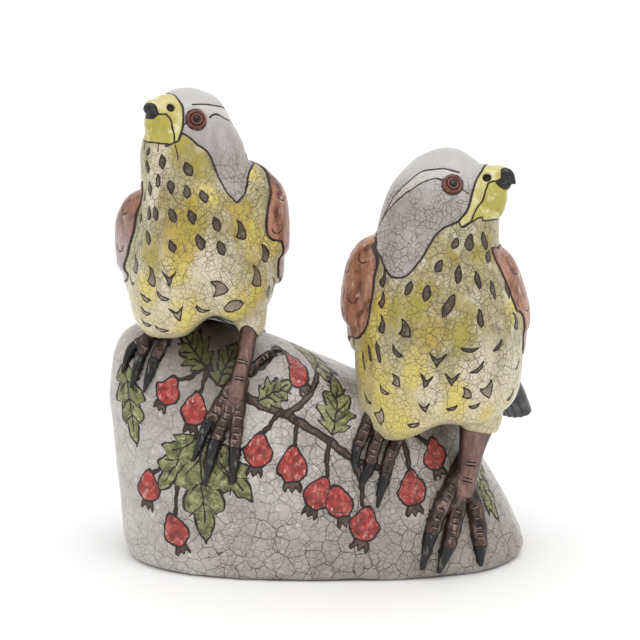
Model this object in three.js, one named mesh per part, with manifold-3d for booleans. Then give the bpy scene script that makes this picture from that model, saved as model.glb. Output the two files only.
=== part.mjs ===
// Two thrushes on a mound: one hand-built, glazed clay group.
// Millimetres, +Z up. The underside lies on z = 0 and the viewer stands on the -Y side.
// A bearing is an angle about the vertical in degrees, 0 toward the viewer and 90 toward +X.
import * as THREE from 'three';
import { mergeVertices } from 'three/addons/utils/BufferGeometryUtils.js';
import Module from 'manifold-3d';

// Mound: height, left end, right end and half depth of each level.
// The power rounds the corners of each level, from 2 for an oval up to a box.
const MOUND_POWER = 2.6;
const MOUND_LEVELS = [
  [0, -113, 119, 65],
  [2, -116, 122, 68.5],
  [9, -119, 123.5, 70],
  [20, -120, 118.5, 69.5],
  [40, -121.5, 108.5, 66.5],
  [60, -123.5, 96, 62.5],
  [72, -125, 90, 59.5],
  [80, -125.5, 83, 57],
  [88, -126, 71, 54.5],
  [100, -126.5, 42, 49.5],
  [115, -125.5, 6, 42],
  [127, -122, -21, 34],
  [135, -117, -46, 25],
  [140, -108, -63, 15],
  [142, -91, -78, 4],
];

// Level length over level width, and how far up the tilt and the arch of the belly reach.
// Each belly is lower on the viewer's left, and arched up beside the leg on the right.
const HEAD_STRETCH = 1.25;
const BODY_STRETCH = 1.08;
const BELLY_DEPTH = 60;

// Rows of the two birds
// body: height, centre x, centre y, half width seen from the front, bearing of the long axis
// bill, upperTip, lowerTip: reach from the head's axis, height, half width, half height
// tail: x, y, z, half width, half thickness
// thigh, leg: x, y, z, radius
// toes: share of the usual thickness, then x and height of points on the mound's front, base to tip

const LEFT_BIRD = {
  body: [
    [137, -82, -24, 8, 0],
    [141.5, -79, -22, 24, 0],
    [149, -71.5, -19, 37.5, 0],
    [164, -69.5, -17, 43, 0],
    [184, -69.5, -17, 42.5, 0],
    [204, -69.5, -19, 39, -8],
    [222, -69, -20, 34.5, -25],
    [235, -72.5, -20, 31, -40],
    [250, -74, -21, 29, -48],
    [264, -75, -22, 23, -48],
    [275, -75.5, -22, 17.5, -48],
    [281, -78, -21, 10, -48],
    [283, -78, -20, 3, -48],
  ],
  belly: { tilt: 4, archX: -62, archHeight: 10.5, archWidth: 12 },
  headFrom: 222,
  headBearing: -48,
  wingBearing: -4,
  wings: [
    { side: -1, top: 223, foot: 147, rise: 1.05 },
    { side: 1, top: 241, foot: 149, rise: 1.2 },
  ],
  bill: [
    [6, 262, 13.5, 16],
    [15, 265, 12.5, 15.5],
    [22, 266.5, 11, 14.5],
    [26.5, 267.5, 8.5, 11.5],
    [29, 268, 4.5, 7],
  ],
  upperTip: [
    [20, 273, 5, 4.6],
    [24.5, 274, 4.8, 4.4],
    [28.5, 273.8, 4.2, 4],
    [31.5, 272.4, 2.4, 2.4],
  ],
  lowerTip: [
    [22, 268, 4.8, 3.2],
    [26, 268, 4.4, 3],
    [30.5, 268, 2.8, 2.2],
  ],
  eye: { height: 267, bearing: 62 },
  tail: [
    [-70, -2, 166, 28, 24],
    [-63, 18, 154, 24, 16],
    [-56, 34, 141, 19, 10],
    [-50, 49, 128, 16, 6],
    [-45, 63, 113, 14, 4],
  ],
  thigh: [
    [-47, -18, 172, 14],
    [-43, -25, 156, 12.5],
    [-40.5, -31, 146, 9],
    [-41, -35, 139, 5.5],
  ],
  leg: [
    [-41, -34, 144, 5.4],
    [-43.5, -39, 130, 5],
    [-46.5, -44, 119, 5],
    [-49, -49, 106, 5.6],
  ],
  toes: [
    [0.85, [-91, 141], [-97.5, 136.5], [-104, 133], [-110.5, 128], [-115, 116]],
    [0.85, [-96, 141], [-101, 133.5], [-104, 127], [-107, 117], [-110, 108.5]],
    [0.85, [-87, 141], [-92, 132], [-95.5, 126.5], [-99, 117], [-102, 107]],
    [0.95, [-47, 118], [-54.5, 107], [-61, 97], [-67, 86], [-73, 70.5]],
    [1, [-48, 114], [-54, 96], [-58.5, 86], [-62, 76], [-66.5, 56.5]],
    [1, [-45, 114], [-47.5, 96], [-48.5, 86], [-49.5, 76], [-50.5, 58]],
    [0.55, [-42, 117], [-38, 121.5], [-33, 124.5], [-28, 126], [-23, 125.5]],
  ],
};

const RIGHT_BIRD = {
  body: [
    [80.5, 50, -38, 8, 0],
    [84.5, 56, -37, 25, 0],
    [91, 65, -33, 39, 0],
    [100, 69.5, -29, 46.5, 0],
    [118, 70, -27, 49, 0],
    [138, 70, -27, 49.5, 0],
    [156, 70.5, -27, 47.5, 0],
    [174, 69.5, -27, 42, 8],
    [190, 68.5, -27, 36.5, 28],
    [204, 69, -26, 34.5, 50],
    [216, 71, -26, 33.5, 62],
    [228, 71, -26, 28.5, 62],
    [239, 72.5, -25, 20.5, 62],
    [246, 73, -25, 10.5, 62],
    [248.5, 73, -25, 3, 62],
  ],
  belly: { tilt: 6, archX: 70, archHeight: 7.5, archWidth: 14 },
  headFrom: 204,
  headBearing: 62,
  wingBearing: 0,
  wings: [
    { side: -1, top: 197, foot: 114, rise: 1.2 },
    { side: 1, top: 190, foot: 114, rise: 0.5 },
  ],
  bill: [
    [8, 222, 13.5, 17.5],
    [20, 224, 12.5, 17],
    [30, 225, 11, 16],
    [35.5, 226, 8.5, 13.5],
    [38.5, 226.5, 5, 8],
  ],
  upperTip: [
    [28, 235, 5.6, 5],
    [35.5, 236, 5, 4.6],
    [40.5, 234.8, 3.6, 3.8],
    [44.5, 231, 0.9, 1.1],
  ],
  lowerTip: [
    [32, 230, 4.6, 3.4],
    [37, 229.6, 4.2, 3.2],
    [41.5, 229.2, 2.4, 2.2],
  ],
  eye: { height: 231, bearing: 52 },
  tail: [
    [72, -4, 132, 30, 24],
    [86, 13, 121, 24, 16],
    [100, 27, 109, 18, 10],
    [112, 42, 92, 15.5, 8],
    [122, 57, 72, 13, 6.5],
  ],
  thigh: [
    [90, -38, 103, 18],
    [93, -41, 93, 14.5],
    [92.5, -42, 84, 10.5],
  ],
  leg: [
    [92, -42, 88, 10.5],
    [89, -43, 73, 7.6],
    [87, -46, 61, 6.4],
    [83.5, -50, 47, 6],
  ],
  toes: [
    [1, [32, 98], [28, 91], [25, 85], [21.5, 77], [20, 66.5]],
    [1, [36, 92], [34, 84], [30.5, 75], [28.5, 67], [23, 55]],
    [1, [47, 88], [43.5, 79], [40, 71.5], [37.5, 62], [33, 44.5]],
    [1.25, [85, 66], [77.5, 54], [70, 42], [65, 29], [59, 8]],
    [1.25, [83, 54], [79, 38], [76.5, 28], [73.5, 18], [69, 5.5]],
    [1.25, [85, 54], [90, 38], [92, 28], [93, 18], [93.5, 6.5]],
  ],
};

// Wing: share of the way down, front bearing, rear bearing and how proud it stands
const WING_LEVELS = [
  [0, 78, 98, 2],
  [0.06, 67, 116, 8.5],
  [0.2, 64, 132, 11],
  [0.42, 64, 146, 10],
  [0.58, 67, 152, 8],
  [0.65, 78, 155, 5.5],
  [0.8, 86, 160, 4.5],
  [0.86, 110, 162, 4],
  [1, 148, 165, 1.5],
];
const WING_ROOT_DEPTH = 7;

// Eyes are flat beads pressed on the head
const EYE_RADIUS = 5.6;
const EYE_RISE = 2.2;
const EYE_ROOT_DEPTH = 4;

// Toe radius at the base, knuckle, knuckle, claw root and claw tip, and height of its axis
const TOE_RADII = [3.8, 4.1, 4, 3.6, 1.3];
const TOE_LIFT = 2.2;

// How finely each form is cut: steps along it and sides around it
const MOUND_MESH = [24, 32];
const BODY_MESH = [22, 26];
const WING_MESH = [12, 12];
const BILL_MESH = [6, 10];
const TAIL_MESH = [7, 12];
const LEG_MESH = [6, 8];
const TOE_MESH = [7, 6];
const EYE_MESH = [3, 8];

const FULL_TURN = 2 * Math.PI;
const radians = THREE.MathUtils.degToRad;
const UP = new THREE.Vector3(0, 0, 1);
const TO_VIEWER = new THREE.Vector3(0, -1, 0);

// Value of a smooth curve through the rows of a table, share running from 0 to 1
function along(rows, share) {
  const place = share * (rows.length - 1);
  const first = Math.min(Math.floor(place), rows.length - 2);
  const part = place - first;
  const row = (index) => rows[Math.min(Math.max(index, 0), rows.length - 1)];
  return row(first).map((value, column) => {
    const next = row(first + 1)[column];
    const slopeIn = (next - row(first - 1)[column]) / 2;
    const slopeOut = (row(first + 2)[column] - value) / 2;
    const rise = next - value;
    const square = 3 * rise - 2 * slopeIn - slopeOut;
    const cube = slopeIn + slopeOut - 2 * rise;
    return value + part * (slopeIn + part * (square + part * cube));
  });
}

// Share of the way along a table at which its first column reaches a height
function shareAtHeight(rows, height) {
  let low = 0;
  let high = 1;
  for (let halving = 0; halving < 24; halving++) {
    const middle = (low + high) / 2;
    if (along(rows, middle)[0] < height) low = middle;
    else high = middle;
  }
  return (low + high) / 2;
}

// Closed skin through rings of points, with a flat cap on each end
function skin([steps, sides], pointAt) {
  const positions = [];
  const indices = [];
  const ring = (step) => Array.from({ length: sides }, (_, side) => step * sides + side);
  for (let step = 0; step <= steps; step++) {
    for (let side = 0; side < sides; side++) {
      positions.push(...pointAt(step / steps, (side / sides) * FULL_TURN).toArray());
    }
  }
  for (let step = 0; step < steps; step++) {
    for (let side = 0; side < sides; side++) {
      const a = step * sides + side;
      const b = step * sides + ((side + 1) % sides);
      indices.push(a, b, b + sides, a, b + sides, a + sides);
    }
  }
  const first = ring(0);
  const last = ring(steps);
  for (let side = 1; side < sides - 1; side++) {
    indices.push(first[0], first[side + 1], first[side]);
    indices.push(last[0], last[side], last[side + 1]);
  }
  const geometry = new THREE.BufferGeometry();
  geometry.setAttribute('position', new THREE.Float32BufferAttribute(positions, 3));
  geometry.setIndex(indices);
  if (signedVolume(geometry) < 0) indices.reverse();
  geometry.setIndex(indices);
  return mergeVertices(geometry);
}

function signedVolume(geometry) {
  const corner = (place) => {
    return new THREE.Vector3().fromBufferAttribute(geometry.attributes.position, geometry.index.getX(place));
  };
  let volume = 0;
  for (let place = 0; place < geometry.index.count; place += 3) {
    volume += corner(place).dot(corner(place + 1).cross(corner(place + 2))) / 6;
  }
  return volume;
}

// Horizontal direction of a bearing
function heading(bearing) {
  return new THREE.Vector3(Math.sin(radians(bearing)), -Math.cos(radians(bearing)), 0);
}

// Tube of oval sections along rows of centre x, y, z, half width and half height.
// The reference direction is square to the half width.
function tube(mesh, rows, reference) {
  const centre = (share) => new THREE.Vector3(...along(rows, share).slice(0, 3));
  return skin(mesh, (share, angle) => {
    const [, , , halfWidth, halfHeight = halfWidth] = along(rows, share);
    const tangent = centre(Math.min(share + 0.01, 1)).sub(centre(Math.max(share - 0.01, 0)));
    const side = tangent.clone().cross(reference).normalize();
    const normal = side.clone().cross(tangent).normalize();
    return centre(share)
      .addScaledVector(side, halfWidth * Math.cos(angle))
      .addScaledVector(normal, halfHeight * Math.sin(angle));
  });
}

function moundForm() {
  const bend = (value) => Math.sign(value) * Math.abs(value) ** (2 / MOUND_POWER);
  return skin(MOUND_MESH, (share, angle) => {
    const [height, left, right, halfDepth] = along(MOUND_LEVELS, share);
    const x = (left + right) / 2 + ((right - left) / 2) * bend(Math.cos(angle));
    return new THREE.Vector3(x, halfDepth * bend(Math.sin(angle)), height);
  });
}

// Point above the mound's front at a given x and height
function onMoundFront(x, height, lift) {
  const depthAt = (px, pz) => {
    const [, left, right, halfDepth] = along(MOUND_LEVELS, shareAtHeight(MOUND_LEVELS, pz));
    const offset = Math.min(Math.abs(px - (left + right) / 2) / ((right - left) / 2), 0.995);
    return -halfDepth * (1 - offset ** MOUND_POWER) ** (1 / MOUND_POWER);
  };
  const slopeX = depthAt(x + 1, height) - depthAt(x - 1, height);
  const slopeZ = depthAt(x, height + 1) - depthAt(x, height - 1);
  const normal = new THREE.Vector3(slopeX / 2, -1, slopeZ / 2).normalize();
  return new THREE.Vector3(x, depthAt(x, height), height).addScaledVector(normal, lift);
}

// Point of a bird's body at a share of its height and a bearing, moved out by rise
function bodyPoint(bird, share, bearing, rise = 0) {
  const [height, x, y, seenHalfWidth, turn] = along(bird.body, share);
  const headShare = THREE.MathUtils.smoothstep(height, bird.headFrom - 25, bird.headFrom + 15);
  const stretch = THREE.MathUtils.lerp(BODY_STRETCH, HEAD_STRETCH, headShare);
  const halfWidth = seenHalfWidth / Math.hypot(stretch * Math.sin(radians(turn)), Math.cos(radians(turn)));
  const off = radians(bearing - turn);
  const radius = halfWidth / Math.hypot(Math.cos(off) / stretch, Math.sin(off));
  const point = new THREE.Vector3(x, y, height).addScaledVector(heading(bearing), radius + rise);
  const { tilt, archX, archHeight, archWidth } = bird.belly;
  const bottom = bird.body[0][0];
  const bellyShare = 1 - THREE.MathUtils.smoothstep(height, bottom, bottom + BELLY_DEPTH);
  const arch = archHeight * Math.exp(-(((point.x - archX) / archWidth) ** 2));
  point.z += bellyShare * ((point.x - x) * Math.tan(radians(tilt)) + bellyShare ** 2 * arch);
  return point;
}

function bodyForm(bird) {
  return skin(BODY_MESH, (share, angle) => {
    return bodyPoint(bird, share, THREE.MathUtils.radToDeg(angle));
  });
}

// Raised panel that hugs the body on one side, from the shoulder down to the tail.
// It swells gently from its edges and reaches into the body behind them.
function wingForm(bird, wing) {
  return skin(WING_MESH, (share, angle) => {
    const [down, front, rear, rise] = along(WING_LEVELS, share);
    const height = THREE.MathUtils.lerp(wing.top, wing.foot, down);
    const middle = (front + rear) / 2;
    const bearing = bird.wingBearing + wing.side * (middle + ((rear - front) / 2) * Math.cos(angle));
    const swell = Math.sin(angle);
    const depth = swell > 0 ? rise * wing.rise * swell : WING_ROOT_DEPTH;
    return bodyPoint(bird, shareAtHeight(bird.body, height), bearing, depth * swell);
  });
}

// Bill sections run outward from the head's axis: reach, height, half width, half height
function billForm(bird, rows) {
  const [, x, y] = along(bird.body, shareAtHeight(bird.body, rows[0][1]));
  const path = rows.map(([reach, height, halfWidth, halfHeight]) => {
    const centre = new THREE.Vector3(x, y, height).addScaledVector(heading(bird.headBearing), reach);
    return [...centre.toArray(), halfWidth, halfHeight];
  });
  return tube(BILL_MESH, path, UP);
}

function eyeForm(bird, side) {
  const share = shareAtHeight(bird.body, bird.eye.height);
  const bearing = bird.headBearing + side * bird.eye.bearing;
  const centre = bodyPoint(bird, share, bearing);
  const slope = bodyPoint(bird, shareAtHeight(bird.body, bird.eye.height + 3), bearing).sub(centre);
  const sideways = new THREE.Vector3().crossVectors(slope, heading(bearing)).normalize();
  const outward = new THREE.Vector3().crossVectors(sideways, slope).normalize();
  const rows = [
    [-EYE_ROOT_DEPTH, EYE_RADIUS],
    [0, EYE_RADIUS],
    [EYE_RISE * 0.7, EYE_RADIUS * 0.8],
    [EYE_RISE, EYE_RADIUS * 0.4],
  ];
  const path = rows.map(([rise, radius]) => {
    return [...centre.clone().addScaledVector(outward, rise).toArray(), radius];
  });
  return tube(EYE_MESH, path, UP);
}

function toeForm([thickness, ...points]) {
  const path = points.map(([x, height], index) => {
    return [...onMoundFront(x, height, TOE_LIFT).toArray(), TOE_RADII[index] * thickness];
  });
  return tube(TOE_MESH, path, TO_VIEWER);
}

function birdForms(bird) {
  return [
    bodyForm(bird),
    ...bird.wings.map((wing) => wingForm(bird, wing)),
    billForm(bird, bird.bill),
    billForm(bird, bird.upperTip),
    billForm(bird, bird.lowerTip),
    ...[-1, 1].map((side) => eyeForm(bird, side)),
    tube(TAIL_MESH, bird.tail, UP),
    tube(LEG_MESH, bird.thigh, TO_VIEWER),
    tube(LEG_MESH, bird.leg, TO_VIEWER),
    ...bird.toes.map(toeForm),
  ];
}

// Joins closed forms into one solid, as the clay was joined before it was fired
const wasm = await Module();
wasm.setup();

function toSolid(geometry) {
  return new wasm.Manifold(new wasm.Mesh({
    numProp: 3,
    vertProperties: new Float32Array(geometry.attributes.position.array),
    triVerts: new Uint32Array(geometry.index.array),
  }));
}

function joined(forms) {
  const { vertProperties, triVerts } = forms.map(toSolid).reduce((sum, form) => sum.add(form)).getMesh();
  const geometry = new THREE.BufferGeometry();
  geometry.setAttribute('position', new THREE.Float32BufferAttribute(vertProperties, 3));
  geometry.setIndex(new THREE.Uint32BufferAttribute(triVerts, 1));
  return geometry;
}

const glazedClay = new THREE.MeshStandardMaterial({ color: 0xc9c2bb, roughness: 0.25, metalness: 0 });
const forms = [moundForm(), ...birdForms(LEFT_BIRD), ...birdForms(RIGHT_BIRD)];
const birdGroup = new THREE.Mesh(joined(forms), glazedClay);
birdGroup.name = 'bird_group';

const group = new THREE.Group();
group.add(birdGroup);

export default group;
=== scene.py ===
"""Two thrushes on a mound: a hand-built clay group under painted, crackled glaze.

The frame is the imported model's: the underside lies on z = 0 and the viewer stands on the -Y side.
Shapes are worked out in millimetres and go into their meshes in metres. A bearing is an angle about
the vertical in degrees, 0 toward the viewer and 90 toward +X.
"""

import logging
import math
from dataclasses import dataclass
from enum import Enum
from typing import Any

import bpy
import numpy as np
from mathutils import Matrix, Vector


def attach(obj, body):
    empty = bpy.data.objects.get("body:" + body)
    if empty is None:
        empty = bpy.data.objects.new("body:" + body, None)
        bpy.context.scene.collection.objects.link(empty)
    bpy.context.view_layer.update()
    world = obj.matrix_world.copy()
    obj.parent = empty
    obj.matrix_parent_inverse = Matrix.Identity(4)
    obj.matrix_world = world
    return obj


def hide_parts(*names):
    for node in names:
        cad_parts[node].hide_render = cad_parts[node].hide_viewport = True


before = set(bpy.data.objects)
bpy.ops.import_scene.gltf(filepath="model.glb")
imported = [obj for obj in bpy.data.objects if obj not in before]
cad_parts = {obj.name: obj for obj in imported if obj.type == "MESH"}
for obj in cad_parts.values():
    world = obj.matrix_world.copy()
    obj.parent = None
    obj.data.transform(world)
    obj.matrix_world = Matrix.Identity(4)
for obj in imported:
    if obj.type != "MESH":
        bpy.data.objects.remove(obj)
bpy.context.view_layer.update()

Array = np.ndarray
Pair = tuple[float, float]
Rows = tuple[tuple[float, ...], ...]
Socket = bpy.types.NodeSocket
Material = bpy.types.Material
NodeTree = bpy.types.NodeTree
Object = bpy.types.Object

LOG = logging.getLogger("bird_group")
NODE = "bird_group"
CAD_BODY = "root"

MM = 0.001
FAR = 1000.0
TINY = 1e-9
UP = np.array([0.0, 0.0, 1.0])
TO_VIEWER = np.array([0.0, -1.0, 0.0])

# Numbers along smooth curves


def smoothstep(low: float, high: float, values: Array) -> Array:
    """Smooth rise from 0 at low to 1 at high: 3t^2 - 2t^3, with t the clipped share of the way."""
    share = np.clip((values - low) / (high - low), 0, 1)
    return share * share * (3 - 2 * share)


def along(rows: Rows | Array, share: Array | float) -> Array:
    """Values of a smooth curve through the rows of a table.

    Each stretch is the cubic through its two rows whose slope at a row is half the difference of
    the rows beside it. Rows are evenly spaced in share.

    Args:
        rows: one row of values for each station.
        share: shares of the way from the first row to the last, of any shape.

    Returns:
        The values, in a last axis as long as a row.
    """
    table = np.asarray(rows, float)
    last = len(table) - 1
    place = np.clip(np.asarray(share, float), 0, 1) * last
    first = np.minimum(place.astype(int), last - 1)
    part = (place - first)[..., None]
    before, value, after, beyond = (table[np.clip(first + step, 0, last)] for step in (-1, 0, 1, 2))
    slope_in = (after - before) / 2
    slope_out = (beyond - value) / 2
    rise = after - value
    square = 3 * rise - 2 * slope_in - slope_out
    cube = slope_in + slope_out - 2 * rise
    return value + part * (slope_in + part * (square + part * cube))


def share_at_height(rows: Rows, height: Array | float) -> Array:
    """Share of the way along a table at which its first column reaches a height."""
    share = np.linspace(0, 1, 2000)
    return np.interp(height, along(rows, share)[:, 0], share)


def smooth_path(points: Rows | Array, samples: int = 40) -> Array:
    """Points of the smooth curve through a few given ones."""
    return along(points, np.linspace(0, 1, samples))


def normalised(vectors: Array) -> Array:
    """Vectors made one long."""
    return vectors / np.maximum(np.linalg.norm(vectors, axis=-1, keepdims=True), TINY)


def heading(bearing: Array | float) -> Array:
    """Horizontal direction of a bearing: its sine toward +X and its cosine toward the viewer."""
    angle = np.radians(bearing)
    return np.stack([np.sin(angle), -np.cos(angle), np.zeros_like(angle)], -1)


def ripple(points: Array, wavelength: float, seed: int) -> Array:
    """Smooth uneven value, about -1 to 1, of places in space.

    It is the mean of a few sines, each along its own slanted direction with its own start.
    """
    waves, gain = 6, 1.7
    random = np.random.default_rng(seed)
    directions = normalised(random.normal(size=(waves, 3)))
    directions *= random.uniform(0.6, 1.5, (waves, 1)) * 2 * np.pi / wavelength
    starts = random.uniform(0, 2 * np.pi, waves)
    return np.sin(points @ directions.T + starts).mean(-1) * gain


def unsteady(points: Array, reach: float, wavelength: float, seed: int) -> Array:
    """Places moved a little each way, so that what is drawn on them looks drawn by hand."""
    moves = [ripple(points, wavelength, seed + axis) for axis in range(points.shape[1])]
    return points + reach * np.stack(moves, -1)


# Closed forms


def tube(rows: Rows, reference: Array, steps: int, sides: int, cap: float = 0.0) -> Array:
    """Rings of a tube of oval sections along a smooth path.

    A section's point is centre + half width x cos x side + half height x sin x normal, where side
    is square to the path and to the reference, and normal is square to both.

    Args:
        rows: centre x, y, z, half width and, where it differs, half height.
        reference: direction square to the half width.
        steps: steps along the path.
        sides: points round each section.
        cap: how far a rounded end reaches past the last section, or 0 for a flat end.

    Returns:
        The rings, shaped (rings, sides, 3).
    """
    share = np.linspace(0, 1, steps + 1)
    values = along(rows, share)
    ahead = along(rows, np.minimum(share + 0.01, 1))[:, :3]
    behind = along(rows, np.maximum(share - 0.01, 0))[:, :3]
    tangent = normalised(ahead - behind)
    centre, half_width, half_height = values[:, :3], values[:, 3], values[:, -1]
    if cap:
        turn = np.linspace(0, np.pi / 2, 7)[1:]
        centre = np.concatenate([centre, centre[-1] + cap * np.sin(turn)[:, None] * tangent[-1]])
        half_width = np.concatenate([half_width, half_width[-1] * np.cos(turn)])
        half_height = np.concatenate([half_height, half_height[-1] * np.cos(turn)])
        tangent = np.concatenate([tangent, np.repeat(tangent[-1:], len(turn), 0)])
    side = normalised(np.cross(tangent, reference))
    normal = normalised(np.cross(side, tangent))
    angle = np.linspace(0, 2 * np.pi, sides, endpoint=False)[None, :, None]
    across = side[:, None] * half_width[:, None, None] * np.cos(angle)
    upward = normal[:, None] * half_height[:, None, None] * np.sin(angle)
    return centre[:, None] + across + upward


def closed_skin(rings: Array) -> tuple[Array, Array, Array]:
    """Points, quads and triangles of a closed skin through rings of points.

    Each end closes in a fan round the middle of its ring. The faces are turned outward: their
    signed volume, the sum of corner triple products over 6, has to be positive.
    """
    count, sides = rings.shape[:2]
    points = np.concatenate([rings.reshape(-1, 3), rings[[0, -1]].mean(1)])
    index = np.arange(count * sides).reshape(count, sides)
    ahead = np.roll(index, -1, axis=1)
    quads = np.stack([index[:-1], ahead[:-1], ahead[1:], index[1:]], -1).reshape(-1, 4)
    first_pole = np.full(sides, count * sides)
    foot = np.stack([ahead[0], index[0], first_pole], -1)
    head = np.stack([index[-1], ahead[-1], first_pole + 1], -1)
    fans = np.concatenate([foot, head])
    corners = points[np.concatenate([quads[:, [0, 1, 2]], quads[:, [0, 2, 3]], fans])]
    volume = np.einsum("ij,ij->", corners[:, 0], np.cross(corners[:, 1], corners[:, 2])) / 6
    if volume < 0:
        quads, fans = quads[:, ::-1], fans[:, ::-1]
    return points, quads, fans


def clay(name: str, forms: list[Array]) -> Object:
    """Object whose mesh holds closed skins through the rings of each form."""
    points: list[Array] = []
    faces: list[list[int]] = []
    start = 0
    for rings in forms:
        skin_points, quads, fans = closed_skin(rings)
        points.append(skin_points)
        faces += (quads + start).tolist() + (fans + start).tolist()
        start += len(skin_points)
    mesh = bpy.data.meshes.new(name)
    mesh.from_pydata((np.concatenate(points) * MM).tolist(), [], faces)
    mesh.shade_smooth()
    piece = bpy.data.objects.new(name, mesh)
    bpy.context.scene.collection.objects.link(piece)
    return piece


def fused(name: str, forms: list[Array], voxel: float, smoothing: int) -> Object:
    """Object with one skin round overlapping forms, its joins worked smooth as wet clay is.

    Args:
        name: the piece's name.
        forms: rings of each closed form.
        voxel: side of the cells that the skin is rebuilt from, in millimetres.
        smoothing: times that each point moves halfway to the middle of its neighbours.
    """
    piece = clay(name, forms)
    remesh = piece.modifiers.new("Fuse", "REMESH")
    remesh.mode = "VOXEL"
    remesh.voxel_size = voxel * MM
    remesh.use_smooth_shade = True
    soften = piece.modifiers.new("Soften", "SMOOTH")
    soften.factor = 0.5
    soften.iterations = smoothing
    depsgraph = bpy.context.evaluated_depsgraph_get()
    mesh = bpy.data.meshes.new_from_object(piece.evaluated_get(depsgraph))
    mesh.name = name
    piece.modifiers.clear()
    piece.data = mesh
    return piece


class Surface:
    """The skin of one piece: its points in millimetres and its normals."""

    def __init__(self, piece: Object) -> None:
        """Reads a piece's points and normals."""
        self.piece = piece
        flat = np.empty(len(piece.data.vertices) * 3, np.float32)
        piece.data.vertices.foreach_get("co", flat)
        self.points = flat.astype(float).reshape(-1, 3) / MM
        piece.data.vertex_normals.foreach_get("vector", flat)
        self.normals = flat.astype(float).reshape(-1, 3)

    def push(self, height: Array) -> None:
        """Moves each point out along its normal, in millimetres."""
        self.points = self.points + self.normals * height[:, None]
        flat = (self.points * MM).astype(np.float32).ravel()
        self.piece.data.vertices.foreach_set("co", flat)
        self.piece.data.update()

    def roughen(self, waves: Rows) -> None:
        """Makes the skin uneven, given the height, wavelength and seed of each set of waves."""
        self.push(sum(height * ripple(self.points, length, seed) for height, length, seed in waves))

    def finish(self, painted: dict[str, Array], glaze: Material) -> None:
        """Keeps the painted values for the glaze to read, and enters the piece in the clay group."""
        for name, value in painted.items():
            attribute = self.piece.data.attributes.new(name, "FLOAT", "POINT")
            attribute.data.foreach_set("value", value.astype(np.float32))
        self.piece.data.materials.clear()
        self.piece.data.materials.append(glaze)
        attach(self.piece, CAD_BODY)
        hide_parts(NODE)
        LOG.info("%s: %d points", self.piece.name, len(self.points))


# Drawing on a surface. An area is a signed distance in millimetres, positive inside.


def nearest_on_path(points: Array, path: Array) -> tuple[Array, Array, Array]:
    """Finds the place on a polyline nearest to each point.

    On each segment that place is the point's projection, kept between the segment's ends.

    Returns:
        The distances, the nearest places and their shares of the polyline's length.
    """
    distance = np.full(len(points), np.inf)
    nearest = np.zeros_like(points)
    share = np.zeros(len(points))
    lengths = np.linalg.norm(np.diff(path, axis=0), axis=1)
    starts = np.concatenate([[0.0], np.cumsum(lengths)])
    for index, length in enumerate(lengths):
        step = path[index + 1] - path[index]
        part = np.clip((points - path[index]) @ step / max(length * length, TINY), 0, 1)
        place = path[index] + part[:, None] * step
        away = np.linalg.norm(points - place, axis=1)
        closer = away < distance
        distance[closer] = away[closer]
        nearest[closer] = place[closer]
        share[closer] = (starts[index] + part[closer] * length) / starts[-1]
    return distance, nearest, share


def within(points: Array, outline: Array) -> Array:
    """Whether flat points lie in an outline: a line to the right crosses it an odd number of times."""
    inside = np.zeros(len(points), bool)
    for (x0, y0), (x1, y1) in zip(outline, np.roll(outline, -1, axis=0)):
        if y0 != y1:
            crossed = (y0 > points[:, 1]) != (y1 > points[:, 1])
            inside ^= crossed & (points[:, 0] < x0 + (points[:, 1] - y0) * (x1 - x0) / (y1 - y0))
    return inside


def from_outline(points: Array, outline: Array) -> tuple[Array, Array]:
    """Signed distance to a closed flat outline, positive inside, and the nearest places on it."""
    distance, nearest, _ = nearest_on_path(points, np.concatenate([outline, outline[:1]]))
    return distance * np.where(within(points, outline), 1, -1), nearest


class Canvas:
    """Painted areas and incised lines over the points of a surface.

    Later shapes lie over earlier ones. Under a new shape s every other area a becomes min(a, -s),
    its own becomes max(a, s), and the lines that it covers go. The edge of an area lies at 0.
    """

    def __init__(self, count: int, areas: tuple[str, ...], plain: tuple[str, ...] = ()) -> None:
        """Makes a blank canvas of that many points. The edges of plain areas aren't incised."""
        self.areas = {area: np.full(count, -FAR) for area in areas}
        self.plain = plain
        self.ink = np.full(count, FAR)
        self.shares: dict[str, Array] = {}

    def fill(self, area: str, shape: Array, where: Array | bool = True) -> None:
        """Paints a shape, a signed distance to its edge, in one area's colour, only where asked."""
        shape = np.where(where, shape, -FAR)
        for other in self.areas:
            self.areas[other] = np.minimum(self.areas[other], -shape)
        self.areas[area] = np.maximum(self.areas[area], shape)
        self.ink = np.where(shape > 0, FAR, self.ink)

    def stroke(self, distance: Array, weight: float = 0.0, where: Array | bool = True) -> None:
        """Incises a line, given the distance to it and how much wider than usual it is."""
        self.ink = np.minimum(self.ink, np.where(where, distance, FAR) - weight)

    def share(self, name: str, values: Array) -> None:
        """Keeps a gradual change from 0 to 1."""
        self.shares[name] = values

    def groove(self, depth: float, width: float) -> Array:
        """Height of the surface at the incised lines: -depth on the line, rising to 0 at width."""
        edges = [np.abs(values) for area, values in self.areas.items() if area not in self.plain]
        return -depth * (1 - smoothstep(0, width, np.minimum.reduce([self.ink, *edges])))

    def values(self) -> dict[str, Array]:
        """All that the glaze reads, by name."""
        return {**self.areas, **self.shares, "ink": self.ink}


class Patch:
    """Flat millimetres across and up on the tangent plane at one place of a surface."""

    def __init__(self, points: Array, centre: Array, outward: Array, tilt: float) -> None:
        """Lays the patch.

        Args:
            points: the surface's points.
            centre: the patch's middle.
            outward: direction away from the surface there.
            tilt: degrees that its up leans toward its right.
        """
        right = normalised(np.cross(UP, outward))
        upward = normalised(np.cross(outward, right))
        lean = math.radians(tilt)
        offset = points - centre
        self.depth = np.abs(offset @ outward)
        self.across = offset @ (right * math.cos(lean) - upward * math.sin(lean))
        self.up = offset @ (right * math.sin(lean) + upward * math.cos(lean))


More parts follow.
